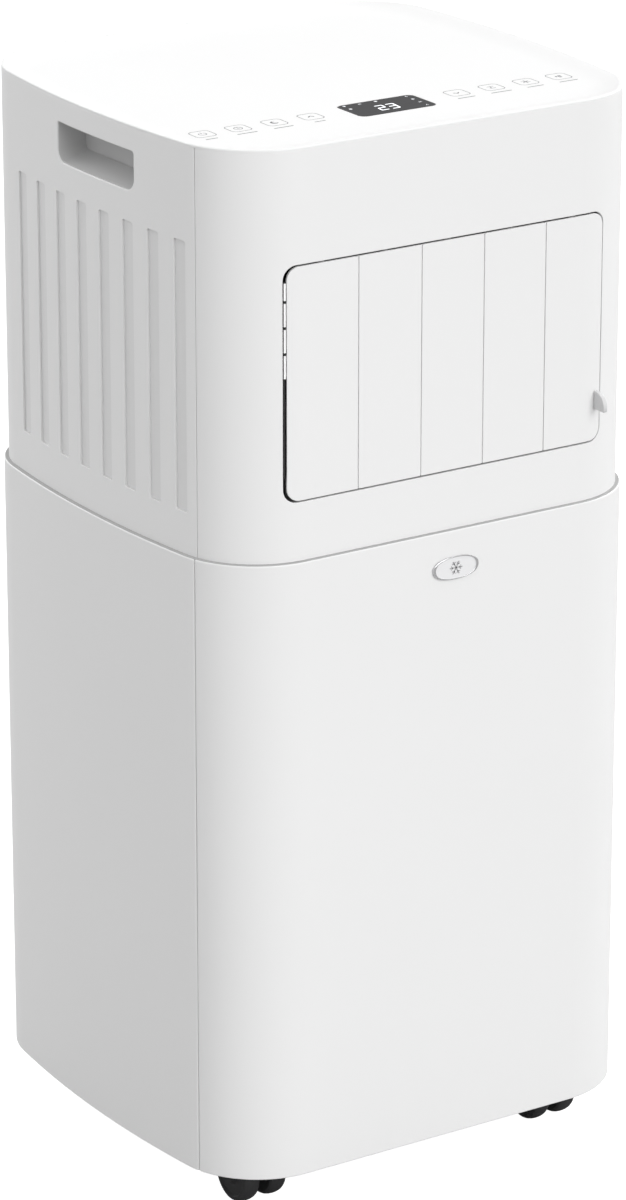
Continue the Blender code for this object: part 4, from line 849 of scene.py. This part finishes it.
seam = SEAM_WAY - SEAM_GAP / 2
outline = rounded_box(-seam, seam, upper_low[2], RIM_BOTTOM, 0.0012, step=0.0026)
louvre_opening = mapped(rounded_box(*OUTLET, OUTLET_CORNER, fan=10), along_front(UPPER_SETBACK))
holes = [(louvre_opening, rolled(0.0004, UPPER_WALL))]
panel = moulding(UPPER_FACE, outline, rolled(0.0005, UPPER_WALL), holes, columns=BODY_COLUMNS)
build("upper_front_shell", [panel], white_abs, replaces=["upper_front_cover"])


def side_outline(side, outline):
    """An outline drawn in (y, z), laid along the outline of one side."""
    if side > 0:
        return mapped(outline, lambda y: way_to_y(y, UPPER_SETBACK))
    laid = mapped(outline, lambda y: 2 * HALF_LAP - way_to_y(y, UPPER_SETBACK))
    return lambda by: laid(by)[::-1]


GRIP_EDGES = (GRIP_MIDDLE - GRIP_WIDTH / 2, GRIP_MIDDLE + GRIP_WIDTH / 2, GRIP_LOW, GRIP_HIGH)
grip_outline = rounded_box(*GRIP_EDGES, (0.008, 0.0022, 0.0022, 0.008), fan=8)


seam = SEAM_WAY + SEAM_GAP / 2
outline = rounded_box(seam, 2 * HALF_LAP - seam, upper_low[2], RIM_BOTTOM, 0.0012, step=0.0026)
filter_low, filter_high = box("filter_grille")
holes = [(rear_opening(filter_low, filter_high, 0.008, UPPER_SETBACK), rolled(0.0005, UPPER_WALL))]
flutes = []
for side in (-1, 1):
    holes.append((side_outline(side, grip_outline), rolled(0.0007, UPPER_WALL)))
    for ends in FLUTE_ENDS:
        flute = rounded_box(*ends, FLUTE_LOW, FLUTE_HIGH, FLUTE_CORNER, step=0.008, fan=4)
        flutes.append((side_outline(side, flute), dent(0.0002, FLUTE_DEPTH, 0.0003)))
panel = moulding(UPPER_FACE, outline, rolled(0.0005, UPPER_WALL), holes, flutes, columns=BODY_COLUMNS)
build("upper_rear_shell", [panel], white_abs, replaces=["upper_rear_cover"])

# Darker white than the shell: painted shade on the flute floors.
flute_shade_white = moulded("flute_shade_white", (0.75, 0.75, 0.75), 0.55)
strips = []
for side in (-1, 1):
    for ends in FLUTE_ENDS:
        flute = rounded_box(*ends, FLUTE_LOW, FLUTE_HIGH, FLUTE_CORNER, fan=4, runs=4)(-0.0004)
        x, _ = around(way_to_y(flute[:, 0], UPPER_SETBACK), UPPER_SETBACK)
        rows = [np.stack([side * (x - depth), flute[:, 0], flute[:, 1]], -1) for depth in (0.0013, 0.0020)]
        strips.append(skin(rows))
build("flute_strips", strips, flute_shade_white, "cabinet", [])

# Mid grey band in the step: painted shadow of the gap between the upper and lower covers.
step_shadow_grey = moulded("step_shadow_grey", (0.40, 0.40, 0.40), 0.8)
laps = BODY_COLUMNS[(BODY_COLUMNS > -HALF_LAP) & (BODY_COLUMNS <= HALF_LAP)]
rings = [(0.0006, STEP_Z - 0.003), (0.0006, STEP_Z + 0.0001), (0.0010, STEP_Z + 0.0004)]
rings += [(UPPER_SETBACK, STEP_Z + 0.0004), (UPPER_SETBACK, STEP_Z - 0.003)]
rows = [np.stack([*around(laps, inset), np.full(len(laps), z)], -1) for inset, z in rings]
build("step_shadow_band", [skin(rows, True)], step_shadow_grey, "cabinet", [])


# Grip pockets
# A deep cup behind each grip opening, coloured a grey-white that paints the shade inside the pocket. Its
# floor climbs a little towards a flat back wall, and it is taller behind the upper lip, so that fingers
# hook over it.
GRIP_DEPTH = 0.0198
GRIP_SHELL = 0.0016
white_inner = moulded("white_inner", (0.74, 0.74, 0.74), 0.5)


def grip_cup(side):
    """Loops from the mouth to a flat back wall.

    Over its depth the floor climbs by 5 mm and each end comes in a little. Behind the shell the upper
    edge rises, so that the cup is taller there than its mouth.
    """
    left, right, low, high = GRIP_EDGES
    mouth = UPPER_SETBACK + 0.0008
    behind = UPPER_SETBACK + UPPER_WALL + 0.0003
    bottom = UPPER_SETBACK + GRIP_DEPTH

    def loop(inset, grow, hook):
        share = np.clip((inset - mouth) / (bottom - mouth), 0, 1)
        climb = 0.0050 * share ** 1.3
        rise = hook * np.clip((inset - mouth - 0.001) / 0.002, 0, 1)
        edges = (left + 0.003 * share, right - 0.0004 * share, low + climb, high + rise)
        radii = (0.008 - 0.003 * share, 0.0022, 0.0022, 0.008 - 0.003 * share)
        flat = rounded_box(*edges, radii, fan=8, runs=9)(grow)
        x, _ = around(way_to_y(flat[:, 0], UPPER_SETBACK), inset)
        return np.stack([side * x, flat[:, 0], flat[:, 1]], -1)

    depths = np.linspace(mouth, bottom, 16)
    inner = [loop(depth, -0.0005, 0.0044) for depth in depths]
    neck = [loop(depth, -0.0001, 0.0) for depth in (mouth, behind)]
    outer = [loop(depth + 0.0003, GRIP_SHELL, 0.0036) for depth in np.linspace(behind, bottom + 0.0012, 12)]
    return skin((neck + outer)[::-1] + inner)


# Grey-white, darker than the shells: painted shade inside the grip pocket.
grip_shade_white = moulded("grip_shade_white", (0.56, 0.56, 0.56), 0.55)
for side, word in ((-1, "left"), (1, "right")):
    build(f"grip_cup_{word}", [grip_cup(side)], grip_shade_white, "cabinet", [f"grip_pocket_{word}"], angle=35)


# Outlet frame and vanes
# The white tunnel behind the louvre, with five level vanes that tip together on a black link.
black_link = moulded("black_link", (0.02, 0.02, 0.022), 0.45, 0.2, 0.1, 900.0, 0.00004)
dress(white_inner, "outlet_frame", *(f"vane_{i}" for i in range(1, 6)))
dress(black_link, "vane_link")


# Outlet slit
# A black strip in the slit beside the first blade, painted shade inside the slit, with four white blocks on
# its upper half that are paler than the shells and glow faintly, painted light.
# Painted shade: the black strip. Painted light: the paler, faintly glowing white blocks.
slit_shade_black = moulded("slit_shade_black", (0.012, 0.012, 0.012), 0.7, 0.2, 0.1, 900.0, 0.00004)
slit_lit_white = moulded("slit_lit_white", (0.93, 0.93, 0.93), 0.45, 0.01, 0.05, 1800.0, 0.00001, glow=0.06)
SLIT_LEFT, SLIT_RIGHT = OUTLET[0] + 0.0002, OUTLET[0] + 0.0013
SLIT_FRONT, SLIT_BACK = -HALF_DEPTH + UPPER_SETBACK + 0.0006, -HALF_DEPTH + UPPER_SETBACK + 0.006
strip_low, strip_high = OUTLET[2] + 0.0165, OUTLET[3] - 0.0095
strip = block((SLIT_LEFT, SLIT_FRONT + 0.0006, strip_low), (SLIT_RIGHT - 0.0003, SLIT_BACK, strip_high))
build("outlet_slit_shade_strip", [strip], slit_shade_black, "cabinet", [])
blocks = []
top = strip_high - 0.0008
for height in (0.0106, 0.0143, 0.0143, 0.0143):
    blocks.append(block((SLIT_LEFT, SLIT_FRONT, top - height), (SLIT_RIGHT, SLIT_BACK - 0.001, top)))
    top -= height + 0.0019
build("outlet_slit_lit_blocks", blocks, slit_lit_white, "cabinet", [])


# Louvre
# Five upright white blades. Each has a rib and a spine behind it and a crank below, and a black link ties
# the cranks. The last blade carries the finger tab.
BLADES = 5
BLADE_PITCH, BLADE_SPLIT, BLADE_GAP = 0.04573, -0.0632, 0.0008
BLADE_THICKNESS = 0.002
BLADE_AXIS_Y = -HALF_DEPTH + UPPER_SETBACK + 0.0065
CRANK_LENGTH = 0.010
blade_low, blade_high = OUTLET[2] + 0.0011, OUTLET[3] - 0.0011
blade_white = moulded("blade_white", (0.80, 0.80, 0.80), 0.42)

for index in range(BLADES):
    name = f"louvre_blade_{index + 1}"
    node_low, node_high = box(name)
    left = BLADE_SPLIT + (index - 1) * BLADE_PITCH + BLADE_GAP / 2
    right = BLADE_SPLIT + index * BLADE_PITCH - BLADE_GAP / 2
    large, small = OUTLET_CORNER - BLADE_GAP, 0.0004
    radii = [small] * 4
    if index == 0:
        left = OUTLET[0] + 0.0024
        radii = [small, small, large, large]
    if index == BLADES - 1:
        right = OUTLET[1] - BLADE_GAP
        radii = [large, large, small, small]
    outline = rounded_box(left, right, blade_low, blade_high, radii, fan=10)
    outline = mapped(outline, along_front(UPPER_SETBACK))
    chunks = [moulding(UPPER_FACE, outline, rolled(0.0003, BLADE_THICKNESS), columns=BODY_COLUMNS)]
    if index < BLADES - 1:
        near = -HALF_DEPTH + UPPER_SETBACK + 0.0006
        chunks.append(block((right - 0.001, near, blade_low), (right + 0.0006, near + 0.0008, blade_high)))
    x, y = BLADE_SPLIT + (index - 0.5) * BLADE_PITCH, BLADE_AXIS_Y
    crank_low = node_low[2] + 0.0041
    crank_high = crank_low + 0.0028
    rib = block((x - 0.0012, y - 0.0055, blade_low + 0.004), (x + 0.0012, y, blade_high - 0.004), 0.0003)
    spine = plate(round_hole(x, y, 0.002, 20)(0.0), crank_low, node_high[2])
    arm_end = (x + 0.0025, y + CRANK_LENGTH + 0.0025, crank_high)
    arm = block((x - 0.0025, y - 0.0022, crank_low), arm_end, 0.002)
    pin = plate(round_hole(x, y + CRANK_LENGTH, 0.0015, 20)(0.0), node_low[2], crank_low + 0.001)
    body = f"blade_{index + 1}"
    build(f"{body}_moulding", [*chunks, rib, spine, arm, pin], blade_white, body, [name])

dress(black_link, "louvre_link")

tab_grey = moulded("tab_grey", (0.62, 0.62, 0.625), 0.4, 0.04, 0.08, 1200.0, 0.00003)
tab_low, tab_high = box("louvre_tab")
tab_root = HALF_DEPTH - UPPER_SETBACK - 0.0003
tab_tip = -tab_low[1]
turn = np.radians(np.linspace(0, 90, 12))
foot = 0.003
tip_curve = np.stack([
    tab_tip - (tab_tip - tab_root) * (1 - np.cos(turn)),
    tab_low[2] + foot + (tab_high[2] - tab_low[2] - foot) * np.sin(turn),
], -1)
base = [(tab_root - 0.0004, tab_low[2]), (tab_tip - 0.0006, tab_low[2]), (tab_tip, tab_low[2] + 0.0006)]
profile = free_outline(np.concatenate([base, tip_curve]))
tab = moulding(side_face(tab_low[0]), profile, rolled(0.0006, tab_high[0] - tab_low[0]), spacing=(1, 1))
build("finger_tab", [tab], tab_grey, "blade_5", ["louvre_tab"])


# Top panel
# A white tray moulded with a narrow rim, resting on the upper covers. Its floor is dished a few
# millimetres, and the display's pocket is sunk in it.
RIM_WIDTH, DISH_RUN, DISH_DEPTH = 0.0027, 0.018, 0.0035
TOP_THICKNESS = 0.0025
lens_low, lens_high = box("display_lens")
PANEL_DROP = 0.00205


def level_face(height):
    """Maps flat coordinates straight onto a level plane seen from above."""
    return lambda a, b, depth: np.stack([a + 0.0 * b, b + 0.0 * a, height - depth + 0.0 * a], -1)


def top_rim():
    """From the floor up the dish to the rim, over the outer edge, and under to the plug.

    At a share s of the slope's width from the rim, the dish is D(1 - (1 - s)^2.2) deep.
    """
    share = np.linspace(1, 0, 12)
    slope = 2.2 * DISH_DEPTH / DISH_RUN * (1 - share) ** 1.2
    depth = DISH_DEPTH * (1 - (1 - share) ** 2.2)
    length = np.hypot(slope, 1)
    dish = np.stack([-RIM_WIDTH - DISH_RUN * share, -depth, -slope / length, 1 / length], -1)
    steep = math.degrees(math.atan(slope[-1]))
    crest = arc(-RIM_WIDTH + 0.0012 * math.sin(math.radians(steep)), -0.0012, 0.0012, -steep, 0, 3)
    shoulder = arc(-0.0011, -0.0011, 0.0011, 0, 90, 5)
    hem = arc(-0.00005, 0.00005 - PANEL_DROP, 0.00005, 90, 180, 2)
    inner = -UPPER_WALL - 0.0003
    under = -DISH_DEPTH - TOP_THICKNESS
    plug = [(inner, -PANEL_DROP, 0, -1), (inner, -PANEL_DROP, 1, 0)]
    plug += [(inner, under, 1, 0), (inner, under, 0, -1)]
    return np.concatenate([dish[:-1], crest, shoulder, hem, plug])


laps = BODY_COLUMNS[(BODY_COLUMNS > -HALF_LAP) & (BODY_COLUMNS <= HALF_LAP)]
panel_outline = lambda by: np.stack(around(laps, UPPER_SETBACK - by), -1)
lens_edges = (lens_low[0] - 0.0003, lens_high[0] + 0.0003, lens_low[1] - 0.0003, lens_high[1] + 0.0003)
pocket_edge = dent(0.0002, 0.0014, 0.0003)
pocket_edge[:, 1] -= DISH_DEPTH
pocket = (rounded_box(*lens_edges, 0.005, fan=8), pocket_edge)
panel = moulding(level_face(TOTAL_Z), panel_outline, top_rim(), dents=[pocket], spacing=(0.04, 0.04))
build("top_tray", [panel], white_abs, "cabinet", ["top_panel"])


# Display
# A gloss black lens flush with the tray. Behind it light a two-figure temperature and small plain
# symbols for the modes.
display_black = moulded("display_black", (0.018, 0.018, 0.020), 0.28, 0.1, 0.02, 1500.0, 0.0)
display_black.node_tree.nodes["Principled BSDF"].inputs["IOR"].default_value = 1.3
display_light = moulded("display_light", (0.9, 0.92, 0.95), 0.5, 0.0, 0.0, 1500.0, 0.0, glow=0.5)
lens = rounded_box(lens_low[0], lens_high[0], lens_low[1], lens_high[1], 0.0047, fan=8)
lens = moulding(level_face(lens_high[2]), lens, rolled(0.0003, lens_high[2] - lens_low[2]), spacing=(1, 1))
build("display_window", [lens], display_black, "cabinet", ["display_lens"])


def stroke(a, b, width, fan=5):
    """Outline of a straight stroke with round ends."""
    a, b = np.array(a, float), np.array(b, float)
    start = math.atan2(b[1] - a[1], b[0] - a[0])
    turn = np.linspace(-math.pi / 2, math.pi / 2, fan + 1)
    ends = [
        end + width / 2 * np.stack([np.cos(start + off + turn), np.sin(start + off + turn)], -1)
        for end, off in ((b, 0.0), (a, math.pi))
    ]
    return np.concatenate(ends)


def bent_stroke(centre, radius, start, end, width, steps=18):
    """Outline of an arc of a ring between two angles in degrees."""
    angle = np.radians(np.linspace(start, end, steps))
    ring = np.stack([np.cos(angle), np.sin(angle)], -1)
    centre = np.array(centre)
    return np.concatenate([centre + (radius + width / 2) * ring, centre + (radius - width / 2) * ring[::-1]])


def figure(centre, segments, wide, tall, width):
    """A seven-segment figure, leaning a little, from the letters a to g of its lit segments."""
    lean = 0.10
    x0, x1 = -wide / 2, wide / 2
    rows = {"low": -tall / 2, "middle": 0.0, "high": tall / 2}
    low, middle, high = rows.values()
    ends = {
        "a": ((x0, high), (x1, high)), "b": ((x1, high), (x1, middle)), "c": ((x1, middle), (x1, low)),
        "d": ((x0, low), (x1, low)), "e": ((x0, middle), (x0, low)), "f": ((x0, high), (x0, middle)),
        "g": ((x0, middle), (x1, middle)),
    }
    found = []
    for segment in segments:
        (ax, ay), (bx, by) = ends[segment]
        dx, dy = (bx - ax) * 0.06, (by - ay) * 0.10
        start, end = np.array([ax + dx, ay + dy]), np.array([bx - dx, by - dy])
        outline = stroke(start, end, width, 3)
        outline[:, 0] += lean * outline[:, 1]
        found.append(outline + centre)
    return found


display_x, display_y = (lens_low[0] + lens_high[0]) / 2, lens_low[1]
lit = figure((display_x - 0.0052, display_y + 0.0128), "abged", 0.0050, 0.0104, 0.0012)
lit += figure((display_x + 0.0028, display_y + 0.0128), "abgcd", 0.0050, 0.0104, 0.0012)
marks = []
for across, up in ((-0.0228, 0.0280), (-0.0118, 0.0277), (0.0, 0.0280), (0.0228, 0.0280)):
    marks.append((display_x + across, display_y + up - 0.0003))
for across, up in ((-0.0232, 0.0203), (0.0224, 0.0203), (0.0224, 0.0122), (0.0224, 0.0042)):
    marks.append((display_x + across, display_y + up - 0.0003))
for index, (x, y) in enumerate(marks):
    if index in (0, 5):
        for turn in (0, 60, 120):
            dx, dy = 0.0010 * math.cos(math.radians(turn)), 0.0010 * math.sin(math.radians(turn))
            lit.append(stroke((x - dx, y - dy), (x + dx, y + dy), 0.0003, 3))
    elif index in (2, 4):
        lit.append(bent_stroke((x, y), 0.0009, 0, 358, 0.0003))
        lit.append(bent_stroke((x, y), 0.0003, 0, 358, 0.0003, 10))
    elif index in (1, 6):
        lit.append(stroke((x - 0.0009, y - 0.0004), (x + 0.0009, y - 0.0004), 0.0003, 3))
        lit.append(stroke((x - 0.0009, y + 0.0005), (x + 0.0006, y + 0.0005), 0.0003, 3))
    else:
        lit.append(bent_stroke((x, y), 0.0008, 60, 300, 0.0003, 12))
glow_low, glow_high = lens_high[2] - 0.0001, lens_high[2] + 0.00003
lit = [plate(outline, glow_low, glow_high) for outline in lit]
build("display_figures", lit, display_light, "cabinet", [])


# Touch keys
# Eight touch keys printed on the tray in thin grey ink: a rounded square, a plain symbol in it, and a
# short dash under it, four to each side of the display.
ink = moulded("printed_ink", (0.13, 0.13, 0.14), 0.6, 0.1, 0.05, 1500.0, 0.0)
INK_LOW, INK_HIGH = lens_high[2] - 0.0001, lens_high[2] + 0.00004
KEY_Y = lens_low[1] + 0.0180
KEY_X = (0.0535, 0.0795, 0.1052, 0.1303)
KEY_HALF, KEY_LINE = 0.0071, 0.00046


def symbol(kind, x, y):
    """Outlines of one of eight plain symbols, each about 6 mm across."""
    line = 0.0005
    if kind == "power":
        return [bent_stroke((x, y), 0.0025, -230, 50, line), stroke((x, y + 0.0008), (x, y + 0.0032), line)]
    if kind == "timer":
        hands = [stroke((x, y), (x, y + 0.0017), line), stroke((x, y), (x + 0.0014, y), line)]
        return [bent_stroke((x, y), 0.0027, 0, 358, line), *hands]
    if kind == "moon":
        outer = bent_stroke((x, y), 0.0026, 60, 320, 0.0)[:18]
        inner = bent_stroke((x + 0.0011, y + 0.0006), 0.0020, 80, 300, 0.0)[:18]
        return [np.concatenate([outer, inner[::-1]])]
    if kind in ("up", "down"):
        tip = 0.0012 if kind == "up" else -0.0012
        return [stroke((x + side * 0.0019, y - tip * 0.6), (x, y + tip), 0.0008) for side in (-1, 1)]
    if kind == "swing":
        top = y + 0.0018
        bar = stroke((x - 0.0022, top), (x + 0.0022, top), line)
        vane = stroke((x, top), (x - 0.0012, y - 0.0022), line)
        return [bar, vane, bent_stroke((x, top), 0.0040, 235, 300, line, 9)]
    if kind == "cold":
        found = []
        for turn in (30, 90, 150):
            dx, dy = 0.0029 * math.cos(math.radians(turn)), 0.0029 * math.sin(math.radians(turn))
            found.append(stroke((x - dx, y - dy), (x + dx, y + dy), line))
        return found
    blades = [bent_stroke((x, y), 0.0017, turn, turn + 70, 0.0013, 9) for turn in (10, 130, 250)]
    return [bent_stroke((x, y), 0.0004, 0, 358, 0.0005, 12), *blades]


LEFT_KEYS = (("power", 0.0076), ("timer", 0.0134), ("moon", 0.0130), ("up", 0.0070))
RIGHT_KEYS = (("down", 0.0120), ("swing", 0.0144), ("cold", 0.0114), ("fan", 0.0129))
places = [(-x, *key) for x, key in zip(KEY_X[::-1], LEFT_KEYS)]
places += [(x, *key) for x, key in zip(KEY_X, RIGHT_KEYS)]
for index, (x, kind, dash) in enumerate(places):
    square = rounded_box(x - KEY_HALF, x + KEY_HALF, KEY_Y - KEY_HALF, KEY_Y + KEY_HALF, 0.0035, 1.0)
    chunks = [band(square(0.0), square(-KEY_LINE), INK_LOW, INK_HIGH)]
    outlines = symbol(kind, x, KEY_Y)
    dash_y = KEY_Y - KEY_HALF - 0.0052
    outlines.append(stroke((x - dash / 2 - 0.001, dash_y), (x + dash / 2 - 0.001, dash_y), 0.0009))
    chunks += [plate(outline, INK_LOW, INK_HIGH) for outline in outlines]
    build(f"touch_key_{index + 1}", chunks, ink, "cabinet", [])


# Badge
# A small oval badge near the top of the lower front cover: a satin white plate in a bright bezel, with a
# plain snowflake.
badge_white = moulded("badge_white", (0.78, 0.78, 0.79), 0.3, 0.01, 0.05, 1500.0, 0.0)
bright_chrome = moulded("bright_chrome", (0.72, 0.72, 0.73), 0.14, 0.02, 0.05, 1500.0, 0.0, metallic=1.0)
badge_low, badge_high = box("badge_plate")
badge_x, badge_z = (badge_low[0] + badge_high[0]) / 2, (badge_low[2] + badge_high[2]) / 2
badge_half = (badge_high[0] - badge_low[0]) / 2, (badge_high[2] - badge_low[2]) / 2


def front_plane(y):
    """Maps (x, z) onto an upright plane facing the front."""
    return lambda a, b, depth: np.stack([a + 0.0 * b, y + depth + 0.0 * a, b + 0.0 * a], -1)


def oval(shrink, ends=0.0):
    """Superellipse |x/a|^2.3 + |z/b|^2.3 = 1, smaller all round by shrink and at its ends by more."""
    turn = np.linspace(0, 2 * math.pi, 73)[:-1]
    cosine, sine = np.cos(turn), np.sin(turn)
    power = 2 / 2.3
    x = np.sign(cosine) * np.abs(cosine) ** power * (badge_half[0] - shrink - ends)
    z = np.sign(sine) * np.abs(sine) ** power * (badge_half[1] - shrink)
    return np.stack([badge_x + x, badge_z + z], -1)


badge_deep = badge_high[1] - badge_low[1]
inset = 0.0005
face_edge = rolled(0.0002, badge_deep - inset)
face = moulding(front_plane(badge_low[1] + inset), free_outline(oval(0.0004)), face_edge, spacing=(1, 1))
build("badge_face", [face], badge_white, "cabinet", ["badge_plate"])
bezel = moulding(
    front_plane(badge_low[1]), free_outline(oval(0.0)), rolled(0.0004, badge_deep),
    [(free_outline(oval(0.0006, 0.0012)), rolled(0.0002, badge_deep))], spacing=(1, 1),
)
build("badge_bezel", [bezel], bright_chrome, "cabinet", [])
ARM, TWIG_ROOT, TWIG = 0.0044, 0.0026, 0.0015
centre = np.array([badge_x, badge_z])
flake = []
for turn in (0, 60, 120):
    along = np.array([math.cos(math.radians(turn)), math.sin(math.radians(turn))])
    flake.append(stroke(centre - ARM * along, centre + ARM * along, 0.0007))
    for way in (-1, 1):
        root = centre + way * TWIG_ROOT * along
        for lean in (-55, 55):
            angle = math.radians(turn + lean) + (0 if way > 0 else math.pi)
            tip = root + TWIG * np.array([math.cos(angle), math.sin(angle)])
            flake.append(stroke(root, tip, 0.0005, 3))
chunks = [standing(outline, badge_low[1] + 0.0002, badge_high[1]) for outline in flake]
build("badge_flake", chunks, bright_chrome, "cabinet", [])


# Rear grilles
# Slatted white grilles that fill the two rear openings. The upper one slides out with the washable
# dust screen, a fine black net on a frame.
GRILLE_BAR = 0.006
GRILLE_SLOTS = 7


def slatted(low, high, inset):
    """A grille on the rear face: an outline less two columns of level slots."""
    frame_outline = rounded_box(rear_way(high[0], inset), rear_way(low[0], inset), low[2], high[2], 0.0077)
    pitch = (high[2] - low[2] - GRILLE_BAR) / GRILLE_SLOTS
    slots = []
    for index in range(GRILLE_SLOTS):
        z = low[2] + GRILLE_BAR + index * pitch
        for left, right in ((low[0] + GRILLE_BAR, -0.003), (0.003, high[0] - GRILLE_BAR)):
            ends = rear_way(right, inset), rear_way(left, inset)
            slots.append(rounded_box(*ends, z, z + pitch - GRILLE_BAR, 0.0015, 0.01, 4))
    wall = UPPER_WALL if inset else LOWER_WALL
    edge = rolled(0.0006, wall)
    slots = [(slot, edge) for slot in slots]
    return moulding(body_face(inset), frame_outline, edge, slots, spacing=(0.02, 1))


cover = slatted(filter_low, filter_high, UPPER_SETBACK)
build("filter_cover", [cover], white_abs, "filter", ["filter_grille"])
cover = slatted(grille_low, grille_high, 0.0)
build("condenser_cover", [cover], white_abs, "cabinet", ["condenser_grille"])

net_black = moulded("net_black", (0.03, 0.03, 0.032), 0.6, 0.2, 0.1, 1500.0, 0.00003)
net_low, net_high = box("filter_screen")
rim, mesh_pitch, thread = 0.004, 0.0024, 0.0002
across = np.arange(net_low[0] + rim, net_high[0] - rim + 1e-6, mesh_pitch)
upward = np.arange(net_low[2] + rim, net_high[2] - rim + 1e-6, mesh_pitch)
net_y = (net_low[1] + net_high[1]) / 2
left, _, bottom = net_low + rim / 2
right, _, top = net_high - rim / 2
threads = [block((x - thread, net_y - 2 * thread, bottom), (x + thread, net_y, top)) for x in across]
threads += [block((left, net_y, z - thread), (right, net_y + 2 * thread, z + thread)) for z in upward]


def rear_plane(y):
    """Maps (-x, z) onto an upright plane facing the rear."""
    return lambda a, b, depth: np.stack([-a + 0.0 * b, y - depth + 0.0 * a, b + 0.0 * a], -1)


rim_outline = rounded_box(-net_high[0], -net_low[0], net_low[2], net_high[2], 0.007)
rim_hole = rounded_box(rim - net_high[0], -net_low[0] - rim, net_low[2] + rim, net_high[2] - rim, 0.003)
rim_edge = rolled(0.0003, net_high[1] - net_low[1])
holes = [(rim_hole, rim_edge)]
rim_piece = moulding(rear_plane(net_high[1]), rim_outline, rim_edge, holes, spacing=(1, 1))
build("dust_net", [rim_piece, *threads], net_black, "filter", ["filter_screen"])


# Exhaust collar
# The round grey socket for the exhaust hose: a flanged tube with a rounded lip, a bead, and three lugs
# that lock the hose end.
collar_grey = moulded("collar_grey", (0.62, 0.63, 0.64), 0.45, 0.04, 0.08, 1200.0, 0.00004)
near, far = collar_low[1], collar_high[1]
face = HALF_DEPTH + 0.0003
bore = COLLAR_RADIUS - 0.003
profile = [(bore, near), (COLLAR_RADIUS, near), (COLLAR_RADIUS, face), (COLLAR_RADIUS + 0.0093, face)]
profile += [(COLLAR_RADIUS + 0.0099, face + 0.0006), (COLLAR_RADIUS + 0.0099, face + 0.0014)]
profile += [(COLLAR_RADIUS + 0.0093, face + 0.002), (COLLAR_RADIUS + 0.0008, face + 0.002)]
profile += [(COLLAR_RADIUS, face + 0.0028), (COLLAR_RADIUS, far - 0.0008)]
profile += [(COLLAR_RADIUS - 0.0008, far), (bore + 0.0008, far), (bore, far - 0.0008), (bore, far - 0.014)]
profile += [(bore - 0.0007, far - 0.015), (bore - 0.0007, far - 0.016), (bore, far - 0.017)]
chunks = [turned(profile, (0.0, None, COLLAR_Z), 96, closed=True)]
for start in (60, 180, 300):
    lug = bent_stroke((0.0, COLLAR_Z), bore - 0.001, start - 9, start + 9, 0.003, 10)
    chunks.append(standing(lug, far - 0.010, far - 0.006))
build("hose_collar", chunks, collar_grey, "cabinet", ["exhaust_collar"])


# Rear fittings
# The black cord gland, and the grey rubber drain plug with a raised grip bar, low on the rear cover.
drain_rubber = moulded("drain_rubber", (0.16, 0.16, 0.165), 0.65, 0.1, 0.1, 900.0, 0.00006)


def flanged(low, high, rings):
    """A turned plug with a flange; rings are the (radius, place) steps of its outer face."""
    x, z = (low[0] + high[0]) / 2, (low[2] + high[2]) / 2
    flange = (high[0] - low[0]) / 2
    shank = flange / 1.35
    back = high[1] - 0.003
    steps = [(0.001, low[1]), (shank, low[1]), (shank, back)]
    steps += [(flange - 0.0004, back), (flange, back + 0.0004)]
    return turned(steps + rings(flange, high[1]), (x, None, z), 40)


def gland_rings(flange, face):
    """Flange edge, then a dished bore for the lead."""
    rim = [(flange, face - 0.0006), (flange - 0.0006, face), (0.0062, face)]
    return rim + [(0.0056, face - 0.0008), (0.0052, face - 0.0022), (0.001, face - 0.0022)]


def drain_rings(flange, face):
    """Flange edge, then a flat face."""
    return [(flange, face - 0.0014), (flange - 0.0006, face - 0.0008), (0.001, face - 0.0008)]


gland = flanged(gland_low, gland_high, gland_rings)
build("cord_entry", [gland], black_nylon, "cabinet", ["cord_gland"])
drain_x, drain_z = (drain_low[0] + drain_high[0]) / 2, (drain_low[2] + drain_high[2]) / 2
pull = stroke((drain_x - 0.006, drain_z), (drain_x + 0.006, drain_z), 0.0028)
chunks = [flanged(drain_low, drain_high, drain_rings), standing(pull, drain_high[1] - 0.0015, drain_high[1])]
build("drain_stopper", chunks, drain_rubber, "drain_plug", ["drain_plug"])
